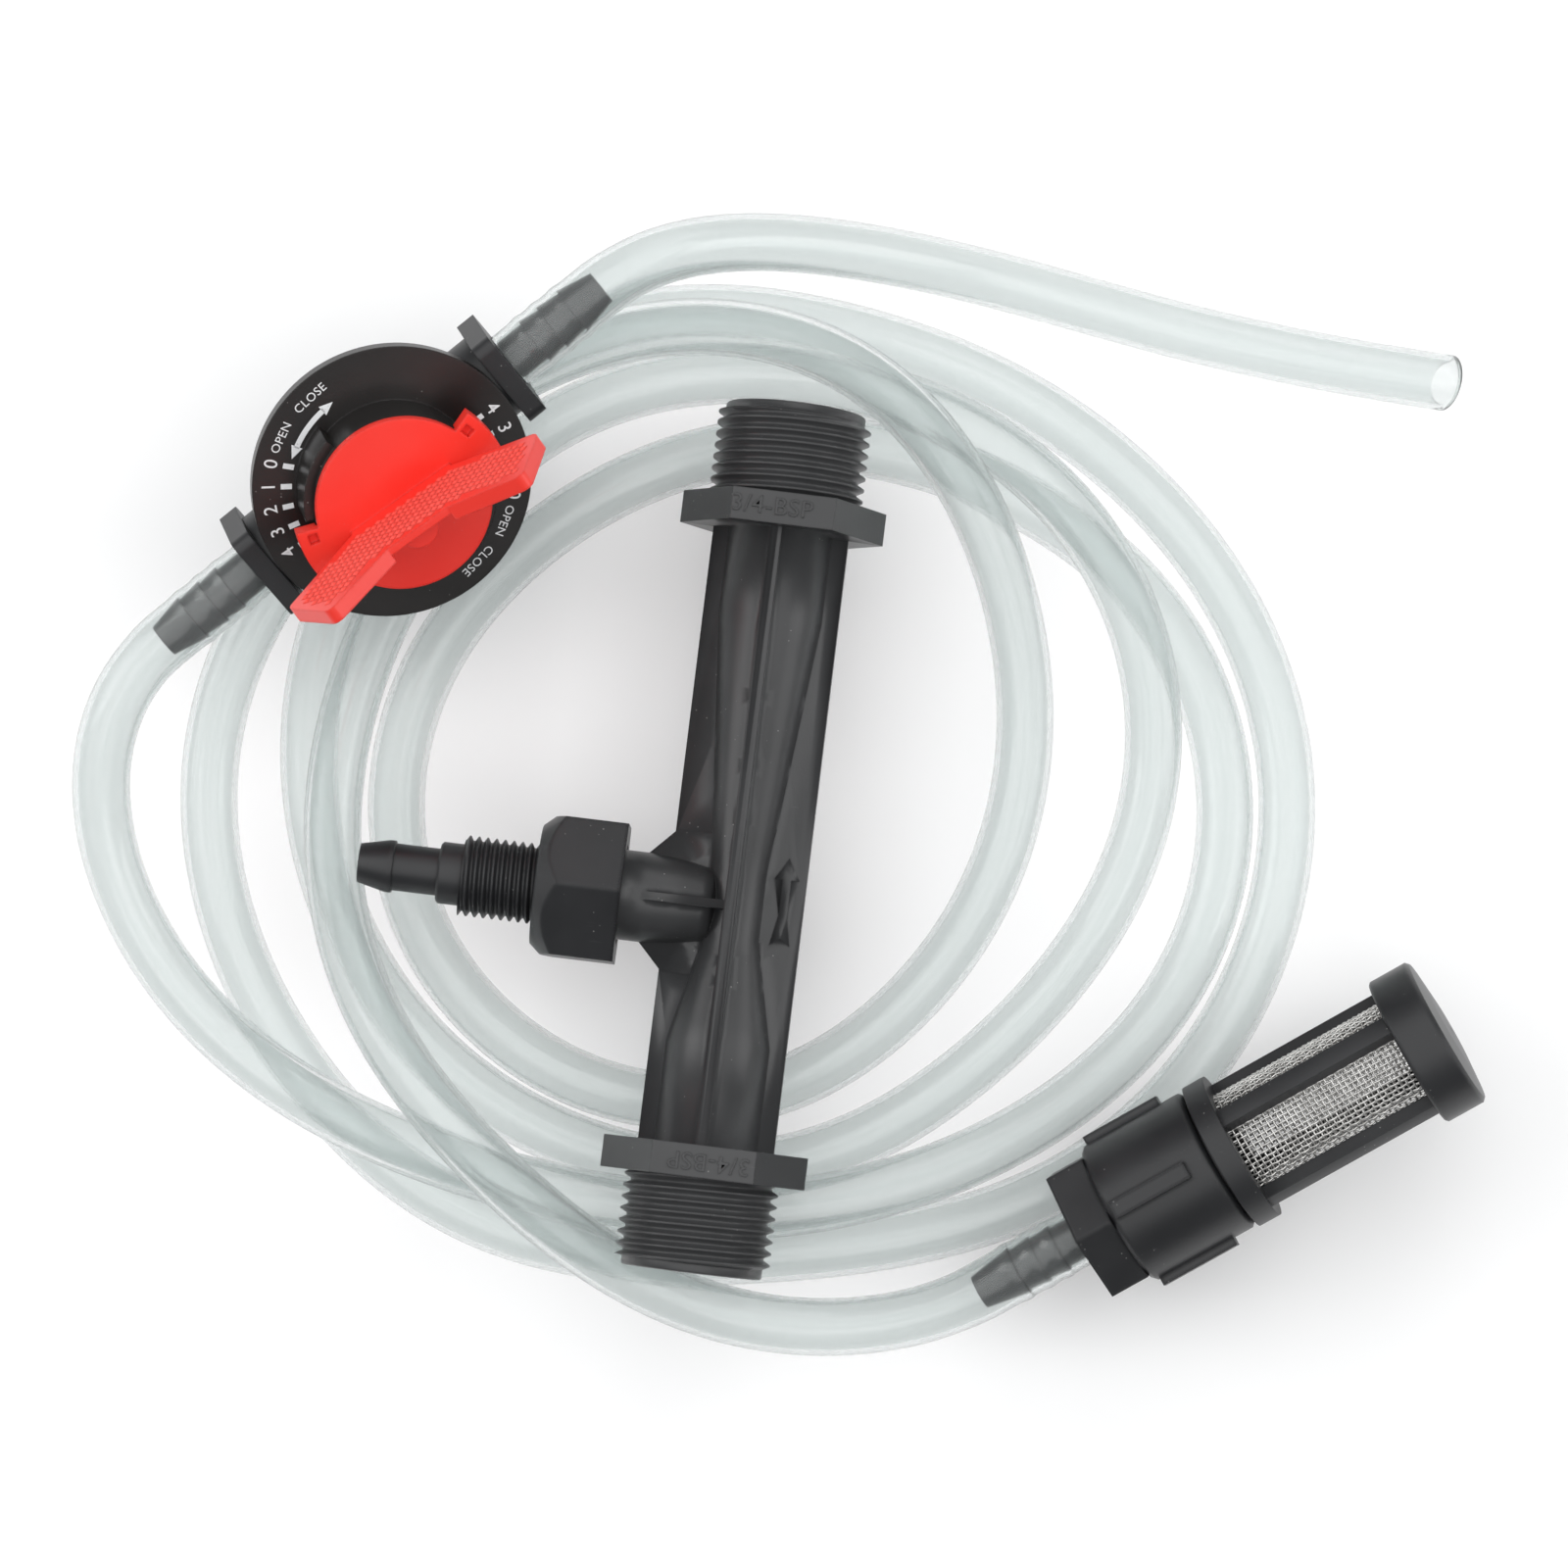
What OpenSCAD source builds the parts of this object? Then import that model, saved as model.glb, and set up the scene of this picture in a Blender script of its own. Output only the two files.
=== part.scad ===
// Venturi fertilizer injector with its suction set: the injector, a dial valve, the clear
// suction hose and the foot strainer, laid out on a table.
// Origin: centre of the injector's inlet face. +Y runs with the flow, -X is the suction side,
// +Z is up. Lengths in millimetres.

/* [Injector ends] */
// Length of the injector from face to face
injector_l = 148.5; // [144:0.5:168]
// Outside diameter of the male pipe thread at both ends
thread_d = 26.44; // [25:0.02:30]
// Length of each end from its face to its hexagon
end_l = 16; // [14:0.5:20]
// Diameter of the plain lead at each face
lead_d = 24.1; // [22:0.1:24.8]
// Length of the plain lead
lead_l = 1.6; // [1:0.1:3]
// Width of both hexagons across flats
hex_w = 30.3; // [30:0.1:36]
// Thickness of both hexagons
hex_t = 5.5; // [4:0.1:8]

/* [Injector duct] */
// Bore diameter at both mouths
mouth_d = 18.8; // [16:0.1:20]
// Straight depth of both mouths
mouth_l = 10; // [6:0.5:13]
// Bore diameter between mouth and cone
duct_d = 14.6; // [12:0.1:15.6]
// Bore diameter of the throat
throat_d = 6.4; // [4:0.1:8]
// Wall of the tube
duct_wall = 1.7; // [1.2:0.1:2.2]
// Distance from the inlet face to the cone
cone_y = 39; // [34:0.5:46]
// Distance from the inlet face to the throat
throat_y = 57; // [51:0.5:58]
// Length of the throat
throat_l = 11; // [10:0.5:16]
// Distance from the inlet face to the end of the diffuser
diffuser_y = 112; // [100:1:118]
// Diameter across the four long ribs
rib_d = 23.4; // [20:0.1:26]
// Thickness of the long ribs
rib_t = 2; // [1.4:0.1:3]
// Roll of the ribs about the flow
rib_roll = 4; // [0:1:8]
// Height of the raised flow arrow
arrow_h = 0.2; // [0.1:0.1:0.6]
// Length of the flow arrow
arrow_l = 15; // [10:0.5:20]

/* [Suction port] */
// Distance from the inlet face to the port's axis
port_y = 62.3; // [61:0.1:64]
// Diameter of the port's neck
neck_d = 15.4; // [14:0.1:16]
// Distance from the flow axis to the neck's end face
neck_l = 28.3; // [27:0.1:31]
// Outside diameter of the neck's thread
neck_thread_d = 17; // [16.4:0.1:18]
// Length of the neck's thread
neck_thread_l = 8.4; // [7:0.1:10]
// Diameter of the jet hole from neck to throat
jet_d = 3; // [2:0.1:4]
// Diameter of the check ball's chamber
chamber_d = 8.4; // [7.4:0.1:9.5]
// Depth of the check ball's chamber
chamber_l = 15.2; // [13:0.1:16]
// Diameter of the check ball
check_d = 6.8; // [6:0.1:7]
// Thickness of the fin on top of the neck
fin_t = 1.4; // [1:0.1:2.4]
// Reach of the side webs along the flow from the port's axis
web_reach = 12.2; // [10:0.1:16]
// Width of the nut across flats
nut_w = 23.6; // [23:0.1:28]
// Length of the nut
nut_l = 14.6; // [13:0.1:18]
// Thickness of the nut's end wall
nut_wall = 2.2; // [1.6:0.1:3]
// Slope left off the nut's outer corners
nut_chamfer = 3.4; // [1:0.1:5]
// Thickness of the flat gasket
gasket_t = 1.2; // [0.8:0.1:2]
// Thickness of the hose tail's flange
flange_t = 2.2; // [1.6:0.1:3]
// Outside diameter of the hose tail's thread
tail_thread_d = 13.8; // [13:0.1:14.4]
// Length of the hose tail's thread outside the nut
tail_thread_l = 12.9; // [8:0.1:16]
// Diameter of the shoulder behind the barb
shoulder_d = 10.6; // [9.6:0.1:12]
// Length of the shoulder
shoulder_l = 4; // [2:0.1:6]
// Length of the plain stem before the barb
stem_l = 7.7; // [5:0.1:12]
// Length of the barb's head
head_l = 6; // [5:0.1:10]

/* [Valve] */
// Diameter of the valve's ball
ball_d = 12.8; // [12:0.1:13.2]
// Bore through ball, seats and hose tails
bore_d = 4.8; // [3.6:0.1:5]
// Length of the valve's barrel
barrel_l = 49; // [46:0.5:54]
// Outside diameter of the barrel
barrel_d = 15.8; // [15.4:0.1:16]
// Diameter of the chamber round the ball
body_d = 22; // [20:0.1:24]
// Depth of the chamber below the hose axis
body_drop = 11.5; // [10:0.1:12.5]
// Height of the body's top, where the dial sits, above the hose axis
dial_z = 8; // [8:0.1:9]
// Diameter of the dial plate
dial_d = 48; // [44:0.5:54]
// Thickness of the dial plate
dial_t = 2.2; // [1.6:0.1:3]
// Outside diameter of the dial's collar
collar_d = 29.2; // [26:0.1:29.6]
// Wall of the dial's collar
collar_wall = 2; // [1.4:0.1:3]
// Height of the dial's collar
collar_h = 10.1; // [8:0.1:12]
// Diameter of the two raised lands beside the collar
land_d = 33; // [31:0.1:35]
// Height of the raised lands
land_h = 8.4; // [6:0.1:9]
// Angle over which each land runs
land_span = 52; // [30:1:70]
// Width of the square plates at the barrel's ends
plate_w = 16.8; // [16.4:0.1:20]
// Thickness of the square plates
plate_t = 3.5; // [2.5:0.1:5]
// Corner radius of the square plates
plate_r = 2; // [1:0.1:4]
// Length of the valve's barbs
barb_l = 20.2; // [18:0.1:24]
// Diameter of the valve stem
spindle_d = 7; // [6:0.1:7.6]
// Diameter of the stem's shoulder inside the body
spindle_shoulder_d = 9; // [8.4:0.1:9.6]
// Width of the stem's tongue in the ball
tongue_w = 2.5; // [2:0.1:3]
// Side of the stem's square drive
drive_w = 3.4; // [3:0.1:3.8]
// Thickness of the knob's disc left over the square drive
drive_roof = 0.5; // [0.4:0.1:0.7]
// Outside diameter of the bush that guides the stem
bush_d = 15; // [13:0.1:17]
// Section of the O-rings
ring_t = 1.24; // [1:0.02:1.4]

/* [Knob] */
// Diameter of the knob's disc
knob_d = 30; // [29.8:0.1:33]
// Thickness of the knob's disc
knob_t = 1.6; // [1.2:0.1:3]
// Diameter over the two pointer ears
ear_d = 37.6; // [36:0.1:40]
// Half angle of each pointer ear
ear_half = 21; // [12:1:28]
// Depth of the ears below the disc
ear_drop = 1.4; // [0.4:0.1:1.6]
// Thickness of the wing
wing_t = 2.8; // [2:0.1:4]
// Half span of the wing
wing_x = 25.4; // [22:0.1:30]
// Height of the wing's tips above the disc
wing_h = 24.3; // [20:0.1:30]
// Height of the saddle between the wing's tips
saddle_h = 16.3; // [13:0.1:18]
// Thickness of the wing between its grips
saddle_t = 1.4; // [1:0.1:2]
// Diameter of the knob's post
post_d = 7; // [6.6:0.1:8]
// Height of the knob's post above the disc
post_h = 13; // [11:0.1:16]
// Turn of the knob from fully open as it lies
knob_set = -4; // [-40:1:0]

/* [Barbs and hose] */
// Outside diameter of the hose
hose_d = 10; // [9:0.1:11]
// Wall of the hose
hose_wall = 1; // [0.6:0.1:1.4]
// Diameter of the barbs' edges
barb_d = 8.6; // [8.2:0.1:9]
// Diameter of the barbs' roots
root_d = 7.5; // [7:0.1:8]
// Diameter of the barbs' tips
tip_d = 6; // [5.8:0.1:6.8]

/* [Strainer] */
// Length of the strainer's barb
foot_barb_l = 20.5; // [18:0.1:24]
// Width of the strainer's hexagon across flats
foot_hex_w = 23; // [20:0.1:25]
// Thickness of the strainer's hexagon
foot_hex_t = 7; // [5:0.1:9]
// Wall of the grip collar round the cage's neck
grip_side = 1.85; // [1.4:0.05:2.6]
// Length of the grip collar
grip_l = 20; // [18:0.1:24]
// Thickness of the collar's end wall
grip_wall = 8.5; // [6:0.1:9]
// Width of the grip ribs
grip_rib_w = 3; // [2:0.1:4]
// Height of the grip ribs
grip_rib_h = 1.4; // [0.8:0.1:2]
// Length of the grip ribs
grip_rib_l = 14.5; // [10:0.1:16]
// Diameter of the tail's spigot in the collar
spigot_d = 16; // [14:0.1:17]
// Wall of the cage's neck round the wire cloth
cage_neck_wall = 1.35; // [1:0.05:1.6]
// Height of the cage's flange over its bars
cage_flange_rim = 1.2; // [0.8:0.1:2]
// Thickness of the cage's flange
cage_flange_t = 4; // [3:0.1:6]
// Height of the cage's bars over the wire cloth
bar_h = 2.45; // [2:0.05:2.9]
// Roll of the cage's bars about the strainer's axis
cage_roll = -30; // [-45:1:0]
// Width of the cage's bars
bar_w = 3.4; // [2.4:0.1:5]
// Length of the cage's windows
window_l = 32.5; // [26:0.5:40]
// Outside diameter of the wire cloth
mesh_d = 19.6; // [18.6:0.1:20]
// Thickness of the wire cloth
mesh_t = 0.5; // [0.4:0.05:0.8]
// Wall of the cap round the cage's end ring
cap_wall = 1.25; // [1:0.05:2.6]
// Length of the cap
cap_l = 8.5; // [7:0.1:12]
// Depth of the cage's end ring in the cap
cap_seat = 3.6; // [2.6:0.1:4.6]
// Rise of the cap's domed end
cap_dome = 0.8; // [0.4:0.1:1.6]

/* [Fits] */
// Running clearance of the ball and the stem, on the radius
run_gap = 0.08; // [0.05:0.01:0.1]
// Seating clearance of plain pieces, on the radius
seat_gap = 0.05; // [0.03:0.01:0.1]

/* [Layout] */
// Height of the flow axis above the table
axis_h = 31.1; // [31:0.1:40]
// Valve centre along X
valve_x = -69.2; // [-75:0.1:-69]
// Valve centre along Y
valve_y = 130.4; // [130:0.1:139]
// Height of the valve's hose axis above the table
valve_h = 33.5; // [33.4:0.1:45]
// Heading of the valve's hose axis
valve_turn = 45.5; // [45:0.5:46]
// Lean of the valve's dial off level
valve_lean = 28; // [0:1:28]
// Pitch of the valve's hose axis, its short hose up
valve_pitch = 5; // [0:0.5:5]
// Strainer's barb tip along X
foot_x = 49.8; // [49:0.1:60]
// Strainer's barb tip along Y
foot_y = 2.4; // [-5:0.1:3]
// Height of the strainer's barb tip above the table
foot_h = 15.5; // [15:0.1:25]
// Heading of the strainer
foot_turn = 36.4; // [35:0.1:37]
// Rise of the strainer toward its cap
foot_rise = 10; // [8:0.5:14]

/* [Hidden] */
$fn = 64;

BLACK = [0.13, 0.13, 0.14];
DARK = [0.09, 0.09, 0.09];
RED = [0.86, 0.12, 0.09];
STEEL = [0.72, 0.72, 0.70];
CLEAR = [0.86, 0.90, 0.90, 0.6];
RUBBER = [0.05, 0.05, 0.05];
CREAM = [0.90, 0.89, 0.84];

duct_r = duct_d / 2;
throat_r = throat_d / 2;
web_t = rib_t + 0.5;
hex_end = end_l + hex_t;
far_hex = injector_l - hex_end;

nut_from = neck_l + gasket_t + flange_t + 0.2 + nut_wall - nut_l;
flange_from = neck_l + gasket_t;
nut_to = nut_from + nut_l;
tail_thread_from = nut_to;
shoulder_from = tail_thread_from + tail_thread_l;
head_from = shoulder_from + shoulder_l + stem_l;
tail_to = head_from + head_l;
tail_bore_r = bore_d / 2;
check_at = flange_from - sqrt(pow(check_d / 2 + seat_gap, 2) - pow(tail_bore_r, 2));

ball_r = ball_d / 2;
body_bore_r = ball_r + 0.3;
seat_from = spindle_shoulder_d / 2 + 0.3;
seat_back = ball_r + 3.1;
half_l = barrel_l / 2;
plate_to = half_l + plate_t;
barb_tip = plate_to + barb_l;
dial_top = dial_z + dial_t;
collar_top = dial_top + collar_h;
disc_z = collar_top + 0.3;
disc_top = disc_z + knob_t;
bush_top = disc_z - 2.6;
tongue_z = ball_r - 2.6;
shoulder_z = ball_r - 0.35;
shoulder_t = 1.3;
drive_from = bush_top + 0.2;
drive_to = disc_top - drive_roof;
ring_z = (dial_top + bush_top) / 2;
ring_x = half_l - 5;

foot_hex_to = foot_barb_l + foot_hex_t;
grip_to = foot_hex_to + grip_l;
chamber_x = foot_hex_to + grip_wall;
neck_x = chamber_x + gasket_t;
flange_x = grip_to + 0.5;
window_x = flange_x + cage_flange_t;
cap_x = window_x + window_l;
cap_to = cap_x + cap_l;
cage_bore_r = mesh_d / 2 + seat_gap;
cage_d = 2 * (cage_bore_r + bar_h);
cage_neck_d = 2 * (cage_bore_r + cage_neck_wall);
cage_flange_d = cage_d + 2 * cage_flange_rim;
grip_d = cage_neck_d + 2 * (seat_gap + grip_side);
cap_d = cage_d + 2 * (seat_gap + cap_wall);
sleeve_r = barb_d / 2 + seat_gap;

valve_at = [valve_x, valve_y, valve_h - axis_h];
foot_at = [foot_x, foot_y, foot_h - axis_h];
valve_dir = [cos(valve_turn) * cos(valve_pitch), sin(valve_turn) * cos(valve_pitch), sin(valve_pitch)];
foot_dir = [cos(foot_turn) * cos(foot_rise), sin(foot_turn) * cos(foot_rise), sin(foot_rise)];

// Turn points of the long hose from valve to strainer: x, y and height of its axis above the table
long_route = [
    [-111, 84, 26.5], [-111, 66, 20], [-103, 48, 12], [-86, 30, 11.5], [-63, 19, 15], [-39, 13, 11],
    [-16, 10, 10.5], [8, 11, 12.5], [31, 18, 11], [55, 32, 5], [74, 51, 5], [83, 75, 5],
    [81, 101, 5], [69, 123, 5], [46, 139, 5], [21, 145, 6], [-1, 146, 12], [-23, 138, 10],
    [-44, 122, 5], [-59, 101, 5], [-62, 76, 5], [-55, 53, 5], [-37, 36, 5], [-12, 28, 5],
    [12, 33, 5], [32, 52, 5], [45, 77, 5], [46, 104, 6], [37, 129, 15], [21, 152, 21],
    [-2, 163, 15], [-29, 162, 15], [-52, 149, 15], [-71, 131, 15], [-87, 110, 13], [-95, 85, 6.5],
    [-92, 59, 5], [-78, 34, 5], [-58, 14, 5], [-34, 2, 5], [-8, 2, 5], [17, 6, 5],
    [42, 12, 5], [65, 24, 5], [83, 45, 5], [93, 72, 5], [93, 99, 5], [81, 126, 5],
    [61, 146, 5], [35, 161, 5], [7, 166, 5], [-19, 168, 5], [-43, 160, 5], [-61, 141, 5],
    [-74, 118, 5], [-79, 91, 5], [-74, 65, 5], [-59, 40, 5], [-37, 24, 5], [-11, 18, 5],
    [14, 19, 5], [35, 33, 5], [54, 54, 5], [68, 80, 5], [68, 107, 10], [57, 131, 15],
    [33, 151, 13], [8, 156, 8], [-19, 156, 5], [-43, 145, 5], [-62, 121, 5], [-71, 92, 10.5],
    [-71, 65, 15], [-62, 38, 15], [-43, 20, 21], [-19, 2, 19], [8, -8, 10], [33, -4, 10]];
// Turn points of the short hose from the valve to its open end
feed_route = [[-6, 177, 26], [29, 179, 11], [64, 174, 5], [100, 171, 5], [115, 172, 5]];

// Places a piece drawn along its own X with the valve's hose axis
module in_valve() {
    translate(valve_at) rotate([0, -valve_pitch, valve_turn]) rotate([valve_lean, 0, 0]) children();
}

// Places a piece that turns with the knob
module in_knob() {
    in_valve() rotate([0, 0, knob_set]) children();
}

// Places a piece drawn along its own X with the strainer's axis, from its barb tip
module in_foot() {
    translate(foot_at) rotate([0, 0, foot_turn]) rotate([0, -foot_rise, 0]) children();
}

// Places a piece drawn along Z with the suction port's axis, from the flow axis outward
module in_port() {
    translate([0, port_y, 0]) rotate([0, -90, 0]) children();
}

// Turns a profile of radius against length about X
module turn_x(points) {
    rotate([0, 90, 0]) rotate_extrude() polygon(points);
}

// Cylinder along X from a to b
module bar_x(a, b, d) {
    translate([a, 0, 0]) rotate([0, 90, 0]) cylinder(d = d, h = b - a);
}

// Hexagonal prism along Z, its width across flats
module hex(w, h) {
    cylinder(d = w / cos(30), h = h, $fn = 6);
}

// Square with round corners
module soft_square(w, r) {
    square([w, w - 2 * r], center = true);
    square([w - 2 * r, w], center = true);
    for (x = [-1, 1], y = [-1, 1]) translate([x, y] * (w / 2 - r)) circle(r = r);
}

// Barb profile from its root at a to its tip: each edge faces the root, at the given distances
function barb(a, l, edges) = concat([[bore_d / 2, a], [root_d / 2, a]],
    [for (e = edges) each [[root_d / 2, a + e], [barb_d / 2, a + e]]],
    [[tip_d / 2, a + l], [bore_d / 2, a + l]]);

// O-ring about Z at the given mean radius
module o_ring(r) {
    rotate_extrude() translate([r, 0]) circle(d = ring_t);
}

function unit(v) = v / norm(v);
function heading(p, i) = unit(p[min(i + 1, len(p) - 1)] - p[max(i - 1, 0)]);

// Round tube swept along points that never run straight up
module sweep(p, d, first, last) {
    sides = 12;
    n = len(p);
    dirs = [for (i = [0 : n - 1]) i == 0 ? first : i == n - 1 ? last : heading(p, i)];
    rings = [for (i = [0 : n - 1]) let (side = unit(cross(dirs[i], [0, 0, 1])), up = cross(side, dirs[i]))
        for (k = [0 : sides - 1]) p[i] + d / 2 * (cos(360 * k / sides) * side + sin(360 * k / sides) * up)];
    walls = [for (i = [0 : n - 2], k = [0 : sides - 1]) let (m = (k + 1) % sides)
        [i * sides + k, i * sides + m, (i + 1) * sides + m, (i + 1) * sides + k]];
    caps = [[for (k = [sides - 1 : -1 : 0]) k], [for (k = [0 : sides - 1]) (n - 1) * sides + k]];
    polyhedron(rings, concat(walls, caps), convexity = 12);
}

function on_table(route) = [for (q = route) [q[0], q[1], q[2] - axis_h]];

// Hose end stretched over a barb that runs from a to b on X
module sleeve(a, b) {
    turn_x([[sleeve_r, a], [sleeve_r + hose_wall, a], [sleeve_r + hose_wall, b], [sleeve_r, b]]);
}

module tube_outline() {
    r = duct_r + duct_wall;
    t = throat_r + duct_wall;
    polygon([[0, hex_end - 1], [r, hex_end - 1], [r, cone_y], [t, throat_y], [t, throat_y + throat_l],
        [r, diffuser_y], [r, far_hex + 1], [0, far_hex + 1]]);
}

module end_outline() {
    polygon([[0, 0], [lead_d / 2, 0], [lead_d / 2, lead_l], [thread_d / 2, lead_l], [thread_d / 2, end_l + 1],
        [0, end_l + 1]]);
}

module bore_outline() {
    m = mouth_d / 2;
    polygon([[0, -1], [m, -1], [m, mouth_l], [duct_r, hex_end - 1], [duct_r, cone_y], [throat_r, throat_y],
        [throat_r, throat_y + throat_l], [duct_r, diffuser_y], [duct_r, far_hex + 1], [m, injector_l - mouth_l],
        [m, injector_l + 1], [0, injector_l + 1]]);
}

module flow_arrow() {
    w = arrow_l / 7;
    l = arrow_l / 2;
    polygon([[-0.8 * w, -l], [0, 1.2 - l], [0.8 * w, -l], [0.35 * w, -l / 3], [0.35 * w, l / 2], [w, l / 2], [0, l],
        [-w, l / 2], [-0.35 * w, l / 2], [-0.35 * w, -l / 3]]);
}

module far_end() {
    translate([0, injector_l, 0]) mirror([0, 1, 0]) children();
}

module injector_solid() {
    rotate([-90, 0, 0]) rotate_extrude() tube_outline();
    for (far = [false, true]) {
        if (far) far_end() injector_end();
        else injector_end();
    }
    intersection() {
        translate([0, hex_end - 0.5, 0]) rotate([-90, 0, 0]) cylinder(d = rib_d, h = far_hex - hex_end + 1);
        rotate([0, -rib_roll, 0]) union() {
            translate([-rib_d, hex_end - 1, -rib_t / 2]) cube([2 * rib_d, far_hex - hex_end + 2, rib_t]);
            translate([-rib_t / 2, hex_end - 1, -rib_d]) cube([rib_t, far_hex - hex_end + 2, 2 * rib_d]);
        }
    }
    rotate([0, -rib_roll, 0]) translate([(throat_r + duct_wall + rib_d / 2) / 2, port_y + 2, rib_t / 2 - 0.1])
        linear_extrude(arrow_h + 0.1) flow_arrow();
    port_solid();
}

module injector_end() {
    rotate([-90, 0, 0]) rotate_extrude() end_outline();
    translate([0, end_l, 0]) rotate([-90, 0, 0]) hex(hex_w, hex_t);
}

module port_solid() {
    r = neck_d / 2;
    root = neck_l - neck_thread_l;
    in_port() rotate_extrude() polygon([[0, 2.2], [0.8 * r, 4.3], [0.95 * r, 10.5], [r, 15], [r, root],
        [neck_thread_d / 2, root], [neck_thread_d / 2, neck_l], [0, neck_l]]);
    translate([0, port_y + fin_t / 2, 0]) rotate([90, 0, 0]) linear_extrude(fin_t)
        polygon([[0, 0], [0, rib_d / 2 - 0.5], [-16.5, r - 0.1], [-16.5, 0]]);
    rotate([0, -rib_roll, 0]) translate([0, port_y, -web_t / 2]) linear_extrude(web_t)
        polygon([[0, -web_reach], [-rib_d / 2 + 0.4, -web_reach], [-16.5, -r + 0.9], [-16.5, r - 0.9],
            [-rib_d / 2 + 0.4, web_reach], [0, web_reach]]);
}

module injector_body() color(BLACK) difference() {
    injector_solid();
    rotate([-90, 0, 0]) rotate_extrude() bore_outline();
    in_port() cylinder(d = jet_d, h = neck_l);
    in_port() translate([0, 0, neck_l - chamber_l]) cylinder(d = chamber_d, h = chamber_l + 1);
}

module suction_nut() color(DARK) in_port() difference() {
    intersection() {
        translate([0, 0, nut_from]) hex(nut_w, nut_l);
        rotate_extrude() polygon([[0, nut_from], [nut_w, nut_from], [nut_w, nut_to - nut_chamfer - nut_w / 2],
            [nut_w / 2 - 1.6, nut_to], [0, nut_to]]);
    }
    translate([0, 0, nut_from - 1]) cylinder(r = neck_thread_d / 2 + seat_gap, h = nut_l - nut_wall + 1);
    translate([0, 0, nut_from]) cylinder(r = tail_thread_d / 2 + seat_gap, h = nut_l + 1);
}

module suction_tail() color(BLACK) in_port() rotate_extrude() polygon([[tail_bore_r, flange_from],
    [neck_thread_d / 2, flange_from], [neck_thread_d / 2, flange_from + flange_t],
    [tail_thread_d / 2, flange_from + flange_t], [tail_thread_d / 2, shoulder_from], [shoulder_d / 2, shoulder_from],
    [shoulder_d / 2, shoulder_from + shoulder_l], [root_d / 2, shoulder_from + shoulder_l], [root_d / 2, head_from],
    [barb_d / 2, head_from], [barb_d / 2, head_from + 1], [tip_d / 2, tail_to], [tail_bore_r, tail_to]]);

module suction_gasket() color(RUBBER) in_port() translate([0, 0, neck_l]) difference() {
    cylinder(d = neck_thread_d, h = gasket_t);
    translate([0, 0, -1]) cylinder(d = chamber_d, h = gasket_t + 2);
}

module check_ball() color(CREAM) in_port() translate([0, 0, check_at]) sphere(d = check_d);

module valve_body() color(BLACK) in_valve() difference() {
    union() {
        bar_x(-half_l, half_l, barrel_d);
        rotate_extrude() polygon(concat([for (a = [0 : 15 : 90])
            [body_d / 2 - 5 + 5 * sin(a), -body_drop + 5 - 5 * cos(a)]], [[body_d / 2, dial_z], [0, dial_z],
            [0, -body_drop]]));
        cylinder(d = bush_d, h = bush_top);
    }
    bar_x(-half_l - 1, half_l + 1, 2 * body_bore_r);
    cylinder(r = spindle_d / 2 + run_gap, h = bush_top + 1);
    cylinder(r = spindle_shoulder_d / 2 + run_gap, h = shoulder_z + shoulder_t + 0.1);
}

module dial_plate() color(DARK) in_valve() {
    inner = bush_d / 2 + seat_gap;
    rotate_extrude() polygon([[inner, dial_z], [dial_d / 2, dial_z], [dial_d / 2, dial_top], [collar_d / 2, dial_top],
        [collar_d / 2, collar_top], [collar_d / 2 - collar_wall, collar_top], [collar_d / 2 - collar_wall, dial_top],
        [inner, dial_top]]);
    for (side = [0, 180]) rotate([0, 0, side + 128 - land_span / 2]) rotate_extrude(angle = land_span)
        polygon([[collar_d / 2 - 0.5, dial_top - 0.1], [land_d / 2, dial_top - 0.1], [land_d / 2, dial_top + land_h],
            [collar_d / 2 - 0.5, dial_top + land_h]]);
}

module valve_tail() {
    groove = [ring_x - ring_t, ring_x + ring_t];
    spigot = body_bore_r - seat_gap;
    turn_x([[bore_d / 2, seat_back], [spigot, seat_back], [spigot, groove[0]], [spigot - ring_t, groove[0]],
        [spigot - ring_t, groove[1]], [spigot, groove[1]], [spigot, half_l], [spigot, plate_to], [bore_d / 2, plate_to]]);
    difference() {
        translate([half_l, 0, 0]) rotate([90, 0, 90]) linear_extrude(plate_t) soft_square(plate_w, plate_r);
        bar_x(half_l - 1, plate_to + 1, bore_d);
    }
    turn_x(barb(plate_to, barb_l, [5.5, 9.3, 13.7]));
}

module valve_tail_left() color(BLACK) in_valve() mirror([1, 0, 0]) valve_tail();

module valve_tail_right() color(BLACK) in_valve() valve_tail();

module tail_ring() {
    translate([ring_x, 0, 0]) rotate([0, 90, 0]) o_ring(body_bore_r - seat_gap / 2 - ring_t / 2);
}

module tail_ring_left() color(RUBBER) in_valve() mirror([1, 0, 0]) tail_ring();

module tail_ring_right() color(RUBBER) in_valve() tail_ring();

module ball_seat() {
    difference() {
        bar_x(seat_from, seat_back, 2 * (body_bore_r - seat_gap));
        sphere(r = ball_r + run_gap);
        bar_x(0, seat_back + 1, bore_d);
    }
}

module ball_seat_left() color(CREAM) in_valve() mirror([1, 0, 0]) ball_seat();

module ball_seat_right() color(CREAM) in_valve() ball_seat();

module valve_ball() color(STEEL) in_knob() difference() {
    sphere(r = ball_r);
    bar_x(-ball_r, ball_r, bore_d);
    translate([-ball_r, -ball_r, shoulder_z - seat_gap]) cube(2 * ball_r);
    translate([-tongue_w / 2 - seat_gap, -ball_r, tongue_z]) cube([tongue_w + 2 * seat_gap, 2 * ball_r, ball_r]);
}

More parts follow.
